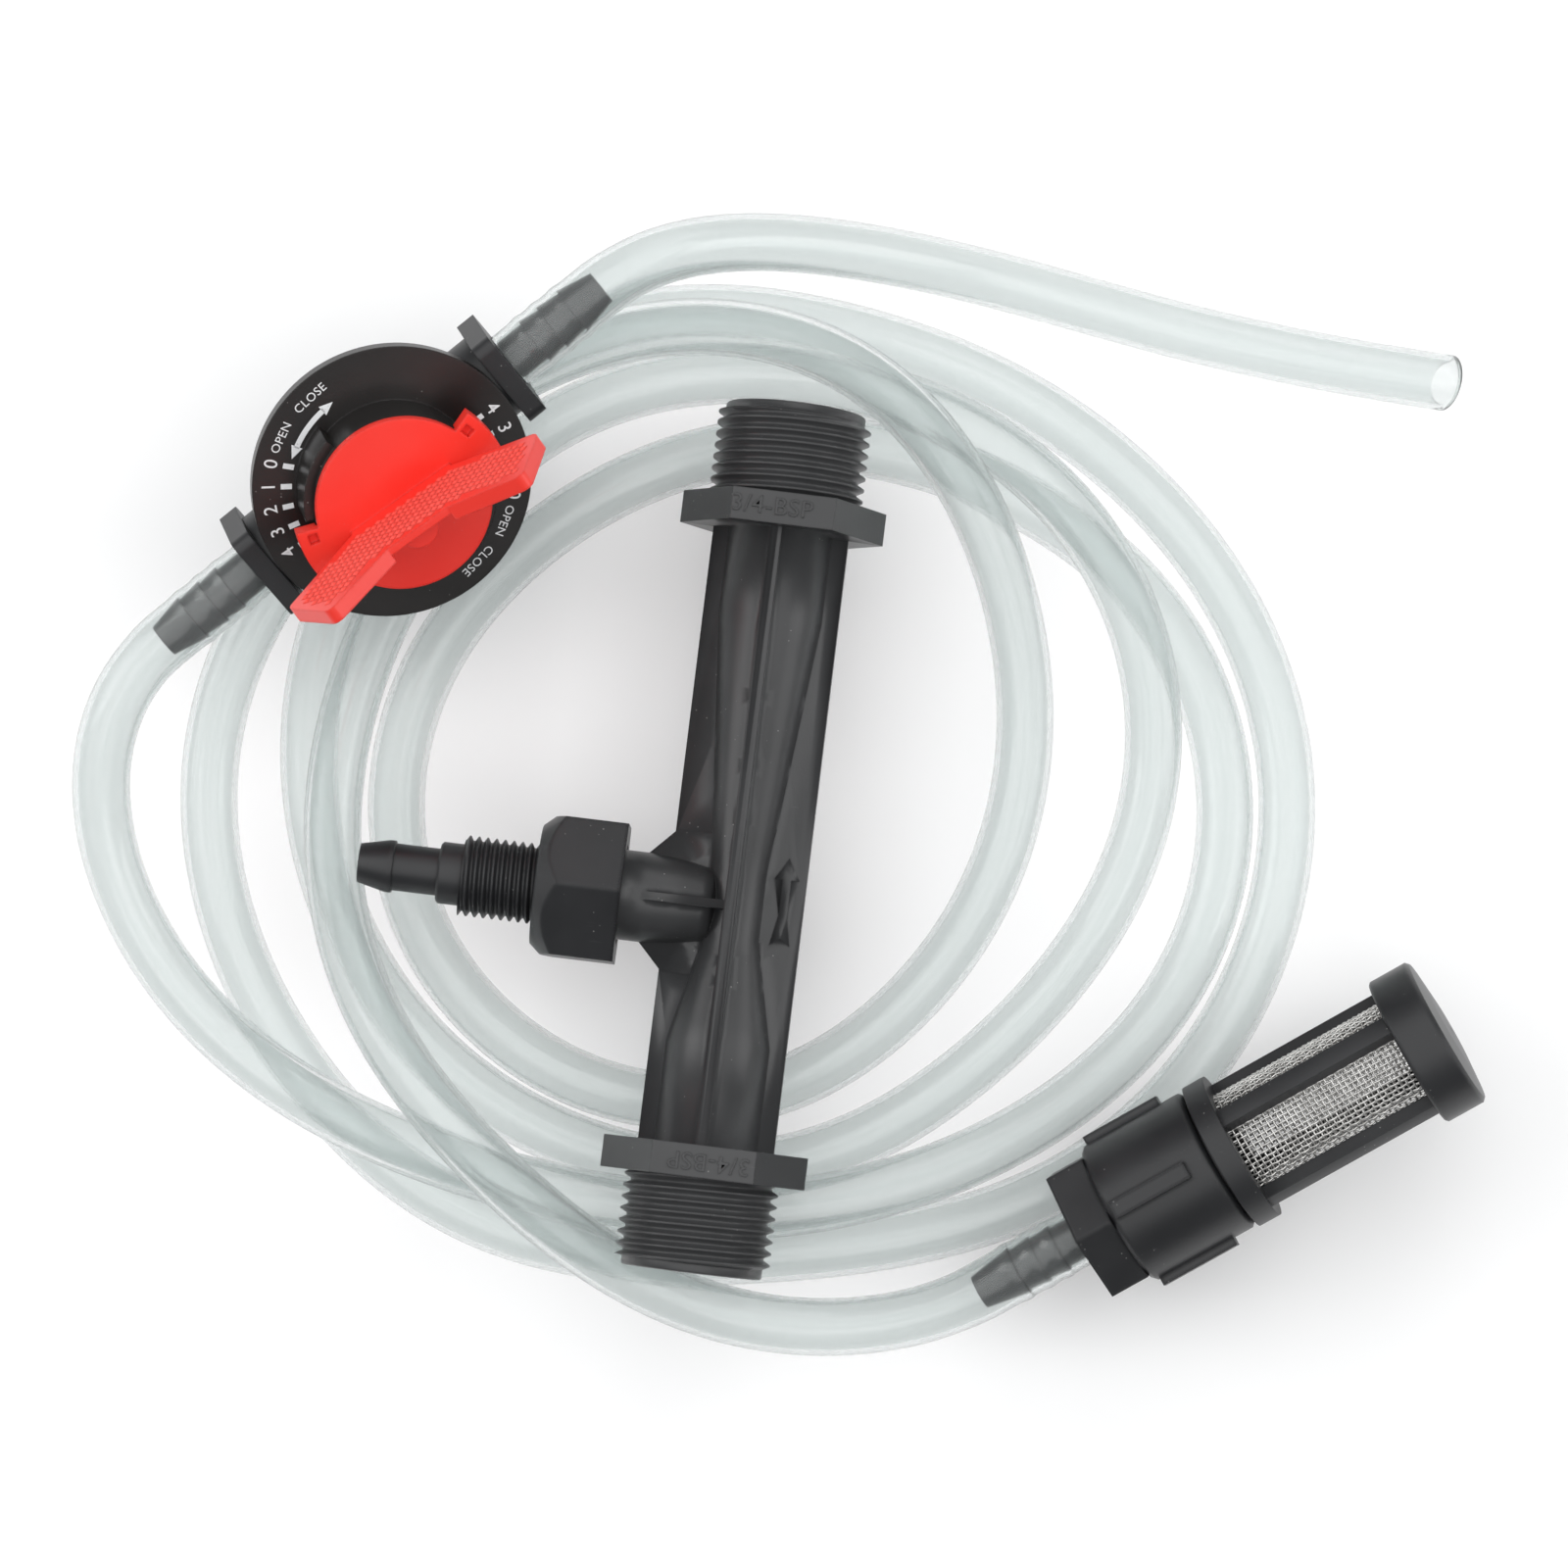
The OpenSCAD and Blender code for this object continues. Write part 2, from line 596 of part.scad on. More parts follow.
module valve_stem() color(STEEL) in_knob() {
    neck = spindle_d / 2;
    rotate_extrude() polygon([[0, shoulder_z], [spindle_shoulder_d / 2, shoulder_z],
        [spindle_shoulder_d / 2, shoulder_z + shoulder_t], [neck, shoulder_z + shoulder_t], [neck, ring_z - ring_t],
        [neck - ring_t, ring_z - ring_t], [neck - ring_t, ring_z + ring_t], [neck, ring_z + ring_t],
        [neck, drive_from], [0, drive_from]]);
    intersection() {
        translate([-tongue_w / 2, -ball_r, tongue_z + seat_gap]) cube([tongue_w, 2 * ball_r, 4]);
        cylinder(d = spindle_shoulder_d, h = shoulder_z + 0.5);
    }
    translate([-drive_w / 2, -drive_w / 2, drive_from - 0.5]) cube([drive_w, drive_w, drive_to - drive_from + 0.5]);
}

module stem_ring() color(RUBBER) in_knob() translate([0, 0, ring_z]) o_ring(spindle_d / 2 - ring_t / 2);

module wing_outline() {
    foot = wing_x * 0.4;
    offset(r = 1.6) offset(delta = -1.6) polygon([[-foot, -1], [-foot, 1.2], [-wing_x, wing_h / 2], [-wing_x + 6, wing_h],
        [-6, saddle_h], [6, saddle_h], [wing_x - 6, wing_h], [wing_x, wing_h / 2], [foot, 1.2], [foot, -1]]);
}

module knob() color(RED) in_knob() difference() {
    union() {
        translate([0, 0, disc_z]) cylinder(d = knob_d, h = knob_t);
        translate([0, 0, drive_from]) cylinder(d = 12, h = disc_z - drive_from + 0.1);
        for (side = [0, 180]) rotate([0, 0, side - ear_half]) rotate_extrude(angle = 2 * ear_half)
            polygon([[knob_d / 2 - 1, disc_z], [knob_d / 2 + 0.2, disc_z], [knob_d / 2 + 0.2, disc_z - ear_drop],
                [ear_d / 2, disc_z - ear_drop], [ear_d / 2, disc_top], [knob_d / 2 - 1, disc_top]]);
        difference() {
            translate([0, wing_t / 2, disc_top]) rotate([90, 0, 0]) linear_extrude(wing_t) wing_outline();
            translate([-6, -wing_t, disc_top]) cube([12, 1.5 * wing_t - saddle_t, wing_h]);
        }
        intersection() {
            translate([0, 0, disc_top - 0.1]) cylinder(d = post_d, h = post_h + 0.1);
            translate([-post_d, -post_d, disc_top - 1]) cube([2 * post_d, post_d + wing_t / 2 - 0.2, post_h + 2]);
        }
    }
    for (side = [0, 1]) mirror([side, 0, 0]) rotate([0, 0, ear_half - 6]) translate([knob_d / 2 + 0.5, -0.9, disc_top - 1.2])
        cube([1.6, 1.8, 2]);
    translate([-drive_w / 2 - seat_gap, -drive_w / 2 - seat_gap, drive_from - 1])
        cube([drive_w + 2 * seat_gap, drive_w + 2 * seat_gap, drive_to - drive_from + 1 + seat_gap]);
}

module strainer_tail() color(BLACK) in_foot() {
    translate([foot_barb_l, 0, 0]) mirror([1, 0, 0]) turn_x(barb(0, foot_barb_l, [4.5, 8.5, 12.5]));
    difference() {
        union() {
            translate([foot_barb_l, 0, 0]) rotate([0, 90, 0]) hex(foot_hex_w, foot_hex_t);
            bar_x(foot_barb_l, chamber_x, spigot_d);
        }
        bar_x(foot_barb_l - 1, chamber_x + 1, bore_d);
    }
}

module strainer_collar() color(BLACK) in_foot() difference() {
    union() {
        turn_x([[0, foot_hex_to], [grip_d / 2 - 0.8, foot_hex_to], [grip_d / 2, foot_hex_to + 0.8],
            [grip_d / 2, grip_to - 0.8], [grip_d / 2 - 0.8, grip_to], [0, grip_to]]);
        for (k = [0 : 3]) rotate([90 * k - 6, 0, 0]) translate([foot_hex_to + 1.2, -grip_rib_w / 2, grip_d / 2 - 1])
            cube([grip_rib_l, grip_rib_w, grip_rib_h + 1]);
    }
    bar_x(foot_hex_to - 1, grip_to, spigot_d + 2 * seat_gap);
    bar_x(chamber_x, grip_to + 1, cage_neck_d + 2 * seat_gap);
}

module strainer_gasket() color(RUBBER) in_foot() difference() {
    bar_x(chamber_x, neck_x, cage_neck_d);
    bar_x(chamber_x - 1, neck_x + 1, 12);
}

module strainer_cage() color(BLACK) in_foot() {
    turn_x([[cage_bore_r, neck_x], [cage_neck_d / 2, neck_x], [cage_neck_d / 2, flange_x], [cage_flange_d / 2, flange_x],
        [cage_flange_d / 2, window_x], [cage_bore_r, window_x]]);
    turn_x([[cage_bore_r, cap_x], [cage_d / 2, cap_x], [cage_d / 2, cap_x + cap_seat], [cage_bore_r, cap_x + cap_seat]]);
    intersection() {
        turn_x([[cage_bore_r, window_x - 0.5], [cage_d / 2, window_x - 0.5], [cage_d / 2, cap_x + 0.5],
            [cage_bore_r, cap_x + 0.5]]);
        rotate([cage_roll, 0, 0]) for (k = [0, 90]) rotate([k, 0, 0])
            translate([window_x - 0.5, -bar_w / 2, -cage_d]) cube([window_l + 1, bar_w, 2 * cage_d]);
    }
}

module strainer_mesh() color(STEEL) in_foot() turn_x([[mesh_d / 2 - mesh_t, flange_x], [mesh_d / 2, flange_x],
    [mesh_d / 2, cap_x + cap_seat], [mesh_d / 2 - mesh_t, cap_x + cap_seat]]);

module strainer_cap() color(BLACK) in_foot() {
    seat = cap_x + cap_seat;
    turn_x([[cage_d / 2 + seat_gap, cap_x], [cap_d / 2 - 0.4, cap_x], [cap_d / 2, cap_x + 0.4],
        [cap_d / 2, cap_to - cap_dome - 0.6], [cap_d / 2 - 0.6, cap_to - cap_dome], [cap_d / 4, cap_to - cap_dome / 4],
        [0, cap_to], [0, seat], [cage_d / 2 + seat_gap, seat]]);
}

module feed_hose() color(CLEAR) {
    tip = valve_at + barb_tip * valve_dir;
    sweep(concat([tip, tip + 7 * valve_dir], on_table(feed_route)), hose_d, valve_dir, [1, 0, 0]);
    in_valve() sleeve(plate_to, barb_tip + 1.5);
}

module suction_hose() color(CLEAR) {
    tip = valve_at - barb_tip * valve_dir;
    sweep(concat([tip, tip - 7 * valve_dir], on_table(long_route), [foot_at - 7 * foot_dir, foot_at]), hose_d,
        -valve_dir, foot_dir);
    in_valve() mirror([1, 0, 0]) sleeve(plate_to, barb_tip + 1.5);
    in_foot() sleeve(-3, foot_barb_l);
}

injector_body();
suction_nut();
suction_tail();
suction_gasket();
check_ball();
valve_body();
dial_plate();
valve_tail_left();
valve_tail_right();
tail_ring_left();
tail_ring_right();
ball_seat_left();
ball_seat_right();
valve_ball();
valve_stem();
stem_ring();
knob();
strainer_tail();
strainer_collar();
strainer_gasket();
strainer_cage();
strainer_mesh();
strainer_cap();
feed_hose();
suction_hose();
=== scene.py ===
"""Looks of a venturi injector and its suction set.

Screw threads, dial print, knurled grips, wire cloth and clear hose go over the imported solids.
Sizes in the classes are millimetres in the part's own frame; MM turns them into metres.
"""

import logging
import math
from collections.abc import Sequence
from dataclasses import dataclass, field
from enum import Enum
from typing import Any

import bmesh
import bpy
import numpy as np
from mathutils import Matrix, Vector, noise


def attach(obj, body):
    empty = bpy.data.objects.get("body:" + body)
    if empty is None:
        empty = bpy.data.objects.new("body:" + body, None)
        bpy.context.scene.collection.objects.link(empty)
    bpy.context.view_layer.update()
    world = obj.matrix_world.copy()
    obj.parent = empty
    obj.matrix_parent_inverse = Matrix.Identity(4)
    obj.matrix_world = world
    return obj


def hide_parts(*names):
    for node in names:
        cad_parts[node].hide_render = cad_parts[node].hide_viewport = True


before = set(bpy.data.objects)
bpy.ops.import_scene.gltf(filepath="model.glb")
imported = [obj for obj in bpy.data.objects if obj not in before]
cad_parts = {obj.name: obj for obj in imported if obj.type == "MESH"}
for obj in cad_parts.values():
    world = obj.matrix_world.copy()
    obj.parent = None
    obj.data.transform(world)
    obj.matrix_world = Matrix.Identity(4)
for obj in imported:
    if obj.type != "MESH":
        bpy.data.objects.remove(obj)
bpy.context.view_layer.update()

LOG = logging.getLogger("injector")
MM = 0.001
LAY = "lay"
Pair = tuple[float, float]
Point = tuple[float, float, float]
Colour = tuple[float, float, float, float]


def turn(degrees: float, axis: str) -> Matrix:
    """Return a rotation by degrees about the axis X, Y or Z."""
    return Matrix.Rotation(math.radians(degrees), 4, axis)


def move(x: float, y: float, z: float) -> Matrix:
    """Return a translation."""
    return Matrix.Translation((x, y, z))


# Places of the sub-assemblies and height of the table
VALVE = move(-69.2, 130.4, 2.4) @ turn(45.5, "Z") @ turn(-5.0, "Y") @ turn(28.0, "X")
KNOB = VALVE @ turn(-4.0, "Z")
FOOT = move(49.8, 2.4, -15.6) @ turn(36.4, "Z") @ turn(-10.0, "Y")
PORT = move(0.0, 62.3, 0.0) @ turn(-90.0, "Y")
INLET = turn(-90.0, "X")
OUTLET = move(0.0, 148.5, 0.0) @ turn(90.0, "X")
TABLE = -31.1
# Cutting tolerance, steps in one turn of a thread, and the font's capital height and letter spacing
CUT = 0.0001
TURN_STEPS = 64
CAPITAL = 0.69
SPACING = 1.06


# Shader writing


class Sock:
    """A value socket on which Python's arithmetic adds Math nodes."""

    def __init__(self, look: "Look", out: bpy.types.NodeSocket) -> None:
        """Keep the socket and the look it belongs to."""
        self.look = look
        self.out = out

    def math(self, operation: str, other: Any = None, swap: bool = False) -> "Sock":
        """Add a Math node.

        Args:
            operation: the node's operation.
            other: the second value or socket, if the operation has one.
            swap: put the second value first.

        Returns:
            The node's result.
        """
        values = [self] if other is None else [other, self] if swap else [self, other]
        node = self.look.node("ShaderNodeMath", {"operation": operation}, dict(enumerate(values)))
        return Sock(self.look, node.outputs[0])

    def __add__(self, other: Any) -> "Sock":
        """Return self + other."""
        return self.math("ADD", other)

    def __radd__(self, other: Any) -> "Sock":
        """Return other + self."""
        return self.math("ADD", other, True)

    def __sub__(self, other: Any) -> "Sock":
        """Return self - other."""
        return self.math("SUBTRACT", other)

    def __rsub__(self, other: Any) -> "Sock":
        """Return other - self."""
        return self.math("SUBTRACT", other, True)

    def __mul__(self, other: Any) -> "Sock":
        """Return self * other."""
        return self.math("MULTIPLY", other)

    def __rmul__(self, other: Any) -> "Sock":
        """Return other * self."""
        return self.math("MULTIPLY", other, True)

    def ramp(self, low: float, high: float) -> "Sock":
        """Return a smooth step.

        Args:
            low: the value that gives 0.
            high: the value that gives 1.

        Returns:
            The step, from 0 to 1.
        """
        node = self.look.node(
            "ShaderNodeMapRange",
            {"interpolation_type": "SMOOTHSTEP"},
            {"Value": self, "From Min": low, "From Max": high},
        )
        return Sock(self.look, node.outputs[0])


class Look:
    """One material in the making."""

    def __init__(self, name: str) -> None:
        """Start a material with one Principled shader.

        Args:
            name: the material's name.
        """
        self.material = bpy.data.materials.new(name)
        self.material.use_nodes = True
        self.tree = self.material.node_tree
        self.tree.nodes.clear()
        self.shader = self.tree.nodes.new("ShaderNodeBsdfPrincipled")
        end = self.tree.nodes.new("ShaderNodeOutputMaterial")
        self.tree.links.new(self.shader.outputs[0], end.inputs["Surface"])
        self.place = self.node("ShaderNodeTexCoord", {}, {}).outputs["Object"]

    def node(self, kind: str, settings: dict[str, Any], sockets: dict[Any, Any]) -> bpy.types.Node:
        """Add a node.

        Args:
            kind: the node's type.
            settings: properties, set first.
            sockets: values or links by socket name or number.

        Returns:
            The new node.
        """
        made = self.tree.nodes.new(kind)
        for key, value in settings.items():
            setattr(made, key, value)
        for key, value in sockets.items():
            self.feed(made.inputs[key], value)
        return made

    def feed(self, socket: bpy.types.NodeSocket, value: Any) -> None:
        """Link or set one socket.

        Args:
            socket: the input to fill.
            value: a Sock, a node's output, or a plain value.
        """
        if isinstance(value, Sock):
            value = value.out
        if isinstance(value, bpy.types.NodeSocket):
            self.tree.links.new(value, socket)
        else:
            socket.default_value = value

    def set(self, **sockets: Any) -> None:
        """Fill the shader's sockets.

        Args:
            sockets: values or links by socket name, with an underscore for each space.
        """
        for key, value in sockets.items():
            self.feed(self.shader.inputs[key.replace("_", " ")], value)

    def stretched(self, scale: Point, spin: Point) -> bpy.types.NodeSocket:
        """Return object coordinates scaled on each axis and then turned.

        Args:
            scale: the scale along each axis.
            spin: the turn about each axis in degrees.

        Returns:
            The coordinates.
        """
        return self.node(
            "ShaderNodeMapping",
            {},
            {"Vector": self.place, "Rotation": [math.radians(a) for a in spin], "Scale": scale},
        ).outputs[0]

    def noise(self, scale: float, detail: float = 2.0, where: Any = None) -> Sock:
        """Return noise of a number of grains to the metre.

        Args:
            scale: grains to the metre.
            detail: octaves of finer noise.
            where: coordinates, the object's own if left out.

        Returns:
            The noise's value, about 0.5 in the mean.
        """
        made = self.node(
            "ShaderNodeTexNoise", {}, {"Vector": where or self.place, "Scale": scale, "Detail": detail}
        )
        return Sock(self, made.outputs[0])

    def specks(self, scale: float, size: float) -> Sock:
        """Return a mask of small round specks.

        Args:
            scale: cells to the metre.
            size: a speck's radius as a share of its cell.

        Returns:
            1 inside a speck and 0 outside it.
        """
        made = self.node("ShaderNodeTexVoronoi", {}, {"Vector": self.place, "Scale": scale})
        return 1.0 - Sock(self, made.outputs["Distance"]).ramp(size * 0.6, size)

    def mix(self, share: Any, first: Any, second: Any) -> bpy.types.NodeSocket:
        """Return a colour between two.

        Args:
            share: 0 gives the first colour, 1 the second.
            first: a colour or its socket.
            second: a colour or its socket.

        Returns:
            The mixed colour.
        """
        made = self.node("ShaderNodeMix", {"data_type": "RGBA"}, {"Factor": share})
        self.feed(made.inputs[6], first)
        self.feed(made.inputs[7], second)
        return made.outputs[2]

    def bump(self, height: Sock, depth: float, edge: float = 0.0) -> bpy.types.NodeSocket:
        """Return a normal for a height map.

        Args:
            height: the height from 0 to 1.
            depth: its depth in metres.
            edge: radius in metres of the softened edges, or 0.

        Returns:
            The normal.
        """
        sockets = {"Height": height, "Distance": depth, "Strength": 1.0}
        if edge:
            sockets["Normal"] = self.node("ShaderNodeBevel", {"samples": 3}, {"Radius": edge}).outputs[0]
        return self.node("ShaderNodeBump", {}, sockets).outputs[0]


# Finishes


class Tone(Enum):
    """Colours of the moulded pieces, with the tint of their scuffs. The body and grip colours are lightened
    as painted sheen.
    """

    BLACK = ((0.012, 0.0125, 0.014, 1.0), (0.10, 0.10, 0.105, 1.0))
    # The injector's black is lighter than the other black: painted sheen that stands in for the broad
    # reflections on its tube
    BODY = ((0.034, 0.0347, 0.036, 1.0), (0.14, 0.14, 0.145, 1.0))
    DARK = ((0.010, 0.0085, 0.0080, 1.0), (0.085, 0.078, 0.074, 1.0))
    RED = ((0.86, 0.030, 0.018, 1.0), (0.95, 0.16, 0.12, 1.0))
    # The knurl's red is a lighter, paler copy of the knob's red: painted sheen for the light its many
    # facets catch
    GRIP = ((0.95, 0.080, 0.058, 1.0), (0.95, 0.22, 0.18, 1.0))
    CREAM = ((0.78, 0.76, 0.68, 1.0), (0.85, 0.83, 0.78, 1.0))


@dataclass(frozen=True)
class Moulded:
    """Moulded plastic: fine grain, faint flow marks, dust and scuffs."""

    name: str
    tone: Tone
    rough: float = 0.42
    grain: float = 0.000012
    dust: float = 0.35
    edge: float = 0.00035

    def make(self) -> bpy.types.Material:
        """Build the finish.

        Returns:
            The material.
        """
        look = Look(self.name)
        base, worn = self.tone.value
        cloud = look.noise(60.0, 3.0)
        fine = look.noise(2600.0, 2.0)
        hair = look.noise(1.0, 2.0, look.stretched((160.0, 3600.0, 3200.0), (20.0, 35.0, 40.0)))
        scuff = hair.ramp(0.68, 0.78) * look.noise(70.0, 2.0).ramp(0.54, 0.68)
        dust = look.specks(700.0, 0.10) * look.noise(130.0, 2.0).ramp(0.54, 0.62) * self.dust
        shade = look.mix(cloud.ramp(0.35, 0.70) * 0.35, base, worn)
        quiet = look.mix(0.78, shade, base)
        marked = look.mix(scuff * 0.55, quiet, worn)
        look.set(
            Base_Color=look.mix(dust, marked, (0.55, 0.54, 0.52, 1.0)),
            Roughness=self.rough + 0.10 * (cloud - 0.5) + 0.12 * scuff + 0.2 * dust,
            Normal=look.bump(fine + 0.6 * cloud, self.grain, self.edge),
            IOR=1.5,
        )
        return look.material


@dataclass(frozen=True)
class PrintInk:
    """White ink on the dial, a little broken up."""

    name: str = "dial_ink"

    def make(self) -> bpy.types.Material:
        """Build the finish.

        Returns:
            The material.
        """
        look = Look(self.name)
        thin = look.noise(1400.0, 3.0).ramp(0.60, 0.72)
        look.set(
            Base_Color=look.mix(thin * 0.55, (0.80, 0.81, 0.82, 1.0), (0.30, 0.30, 0.30, 1.0)),
            Roughness=0.45 + 0.2 * thin,
            Normal=look.bump(look.noise(2200.0), 0.000008),
        )
        return look.material


@dataclass(frozen=True)
class ClearTube:
    """Clear soft vinyl with faint drawing lines along it."""

    name: str = "clear_tube"
    pale: Colour = (0.838, 0.866, 0.860, 1.0)
    deep: Colour = (0.798, 0.830, 0.824, 1.0)

    def make(self) -> bpy.types.Material:
        """Build the finish.

        Returns:
            The material.
        """
        look = Look(self.name)
        lay = look.node("ShaderNodeAttribute", {"attribute_name": LAY}, {}).outputs["Vector"]
        lines = look.noise(3.0, 2.0, lay)
        look.set(
            Base_Color=look.mix(lines.ramp(0.35, 0.65), self.pale, self.deep),
            Roughness=0.13 + 0.05 * lines.ramp(0.4, 0.7),
            IOR=1.33,
            Transmission_Weight=0.95,
        )
        return look.material


@dataclass(frozen=True)
class BrightSteel:
    """Stainless wire and turned steel."""

    name: str
    rough: float = 0.26

    def make(self) -> bpy.types.Material:
        """Build the finish.

        Returns:
            The material.
        """
        look = Look(self.name)
        cloud = look.noise(500.0, 3.0)
        look.set(
            Base_Color=look.mix(cloud.ramp(0.35, 0.7), (0.74, 0.73, 0.71, 1.0), (0.50, 0.49, 0.475, 1.0)),
            Roughness=self.rough + 0.18 * (cloud - 0.5),
            Normal=look.bump(look.noise(4200.0), 0.000006),
            Metallic=1.0,
        )
        return look.material


@dataclass(frozen=True)
class SoftRubber:
    """Black rubber of the gaskets and rings."""

    name: str = "ring_rubber"

    def make(self) -> bpy.types.Material:
        """Build the finish.

        Returns:
            The material.
        """
        look = Look(self.name)
        cloud = look.noise(900.0, 3.0)
        look.set(
            Base_Color=look.mix(cloud, (0.012, 0.012, 0.012, 1.0), (0.030, 0.030, 0.030, 1.0)),
            Roughness=0.55 + 0.25 * (cloud - 0.5),
            Normal=look.bump(look.noise(3000.0), 0.00001),
        )
        return look.material


@dataclass(frozen=True)
class TableTop:
    """Plain white studio table."""

    name: str = "table_white"

    def make(self) -> bpy.types.Material:
        """Build the finish.

        Returns:
            The material.
        """
        look = Look(self.name)
        look.set(Base_Color=(0.97, 0.97, 0.97, 1.0), Roughness=0.75)
        return look.material


# Mesh helpers


def lathe(bm: bmesh.types.BMesh, profile: Sequence[Pair], steps: int = 72) -> None:
    """Turn a profile about Z.

    Args:
        bm: the mesh to add to.
        profile: radius and height of each point.
        steps: faces round the turn.
    """
    verts = [bm.verts.new((r, 0.0, z)) for r, z in profile]
    edges = [bm.edges.new(pair) for pair in zip(verts, verts[1:])]
    bmesh.ops.spin(
        bm, geom=verts + edges, cent=(0, 0, 0), axis=(0, 0, 1), dvec=(0, 0, 0), angle=math.tau, steps=steps,
        use_merge=True, use_duplicate=False,
    )


def trim(bm: bmesh.types.BMesh, at: Sequence[float], way: Sequence[float]) -> None:
    """Cut off all that lies beyond a plane.

    Args:
        bm: the mesh to cut.
        at: a point on the plane.
        way: the direction that is cut off.
    """
    bmesh.ops.bisect_plane(
        bm, geom=bm.verts[:] + bm.edges[:] + bm.faces[:], dist=CUT, plane_co=at, plane_no=way,
        clear_outer=True,
    )


def screw(
    bm: bmesh.types.BMesh, root: float, crest: float, pitch: float, start: float, stop: float
) -> None:
    """Wind a right-hand screw thread about Z and trim it square at both ends.

    Args:
        bm: an empty mesh.
        root: radius at the thread's root.
        crest: radius at its crest.
        pitch: distance between crests.
        start: height of the first end.
        stop: height of the second end.
    """
    turns = math.ceil((stop - start) / pitch) + 2
    form = ((root, 0.0), (root, 0.10), (crest, 0.42), (crest, 0.58), (root, 0.90), (root, 1.0))
    verts = [bm.verts.new((r, 0.0, start + (z - 1.0) * pitch)) for r, z in form]
    edges = [bm.edges.new(pair) for pair in zip(verts, verts[1:])]
    bmesh.ops.spin(
        bm, geom=verts + edges, cent=(0, 0, 0), axis=(0, 0, 1), dvec=(0, 0, pitch / TURN_STEPS),
        angle=math.tau * turns, steps=TURN_STEPS * turns, use_merge=False, use_duplicate=False,
    )
    bmesh.ops.remove_doubles(bm, verts=bm.verts[:], dist=0.002)
    for height, side in ((start, -1.0), (stop, 1.0)):
        trim(bm, (0, 0, height), (0, 0, side))


def rim(bm: bmesh.types.BMesh, height: float) -> list[bmesh.types.BMEdge]:
    """Find the open edges that lie at one height.

    Args:
        bm: the mesh.
        height: the height on Z.

    Returns:
        The edges.
    """
    return [
        e for e in bm.edges if e.is_boundary and all(abs(v.co.z - height) < 0.001 for v in e.verts)
    ]


def draw_rim(bm: bmesh.types.BMesh, edges: list[bmesh.types.BMEdge], profile: Sequence[Pair]) -> None:
    """Extrude a rim through rings of given radius and height about Z.

    Args:
        bm: the mesh that the rim belongs to.
        edges: the rim.
        profile: radius and height of each further ring.
    """
    for radius, height in profile:
        made = bmesh.ops.extrude_edge_only(bm, edges=edges)["geom"]
        fresh = {v for v in made if isinstance(v, bmesh.types.BMVert)}
        for v in fresh:
            scale = radius / math.hypot(v.co.x, v.co.y)
            v.co = Vector((v.co.x * scale, v.co.y * scale, height))
        edges = [e for e in made if isinstance(e, bmesh.types.BMEdge) and set(e.verts) <= fresh]


def join(bm: bmesh.types.BMesh, other: bmesh.types.BMesh, place: Matrix) -> None:
    """Move one mesh into another.

    Args:
        bm: the mesh that takes it.
        other: the mesh that is used up.
        place: where it goes.
    """
    bmesh.ops.transform(other, matrix=place, verts=other.verts[:])
    spare = bpy.data.meshes.new("spare")
    other.to_mesh(spare)
    other.free()
    bm.from_mesh(spare)
    bpy.data.meshes.remove(spare)


def piece(
    name: str,
    bm: bmesh.types.BMesh,
    place: Matrix,
    material: bpy.types.Material,
    body: str,
    crease: float,
) -> bpy.types.Object:
    """Make a finished piece that rides on a body.

    Args:
        name: the piece's name.
        bm: its mesh in millimetres, used up.
        place: its place in millimetres.
        material: its finish.
        body: the body it rides on.
        crease: angle in degrees from which an edge stays sharp.

    Returns:
        The piece.
    """
    bmesh.ops.transform(bm, matrix=Matrix.Scale(MM, 4) @ place, verts=bm.verts[:])
    mesh = bpy.data.meshes.new(name)
    bm.to_mesh(mesh)
    bm.free()
    mesh.materials.append(material)
    mesh.polygons.foreach_set("use_smooth", [True] * len(mesh.polygons))
    mesh.set_sharp_from_angle(angle=math.radians(crease))
    obj = bpy.data.objects.new(name, mesh)
    bpy.context.scene.collection.objects.link(obj)
    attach(obj, body)
    LOG.info("%s: %d faces on %s", name, len(mesh.polygons), body)
    return obj


def curve_mesh(curve: bpy.types.Curve) -> bmesh.types.BMesh:
    """Turn a curve or text into a mesh and drop the curve.

    Args:
        curve: the curve's data.

    Returns:
        Its mesh.
    """
    holder = bpy.data.objects.new("holder", curve)
    bpy.context.scene.collection.objects.link(holder)
    bpy.context.view_layer.update()
    graph = bpy.context.evaluated_depsgraph_get()
    mesh = bpy.data.meshes.new_from_object(holder.evaluated_get(graph))
    bpy.data.objects.remove(holder)
    bpy.data.curves.remove(curve)
    bm = bmesh.new()
    bm.from_mesh(mesh)
    bpy.data.meshes.remove(mesh)
    return bm


def lettering(text: str, height: float, bold: float = 0.0) -> bmesh.types.BMesh:
    """Return flat lettering, centred on the origin and facing +Z.

    Args:
        text: the characters.
        height: height of a capital.
        bold: growth of the strokes.

    Returns:
        The letters' mesh in millimetres.
    """
    curve = bpy.data.curves.new("letters", "FONT")
    curve.body = text
    curve.size = height / CAPITAL
    curve.offset = bold
    curve.space_character = SPACING
    curve.align_x = "CENTER"
    curve.align_y = "CENTER"
    curve.resolution_u = 4
    bm = curve_mesh(curve)
    bmesh.ops.remove_doubles(bm, verts=bm.verts[:], dist=0.0005)
    return bm


def raise_flat(bm: bmesh.types.BMesh, height: float) -> None:
    """Give flat faces a height along Z, with walls down to where they were.

    Args:
        bm: a flat mesh facing +Z.
        height: how far its face is raised.
    """
    made = bmesh.ops.extrude_face_region(bm, geom=bm.faces[:])["geom"]
    verts = [v for v in made if isinstance(v, bmesh.types.BMVert)]
    bmesh.ops.translate(bm, verts=verts, vec=(0.0, 0.0, height))


# Studio


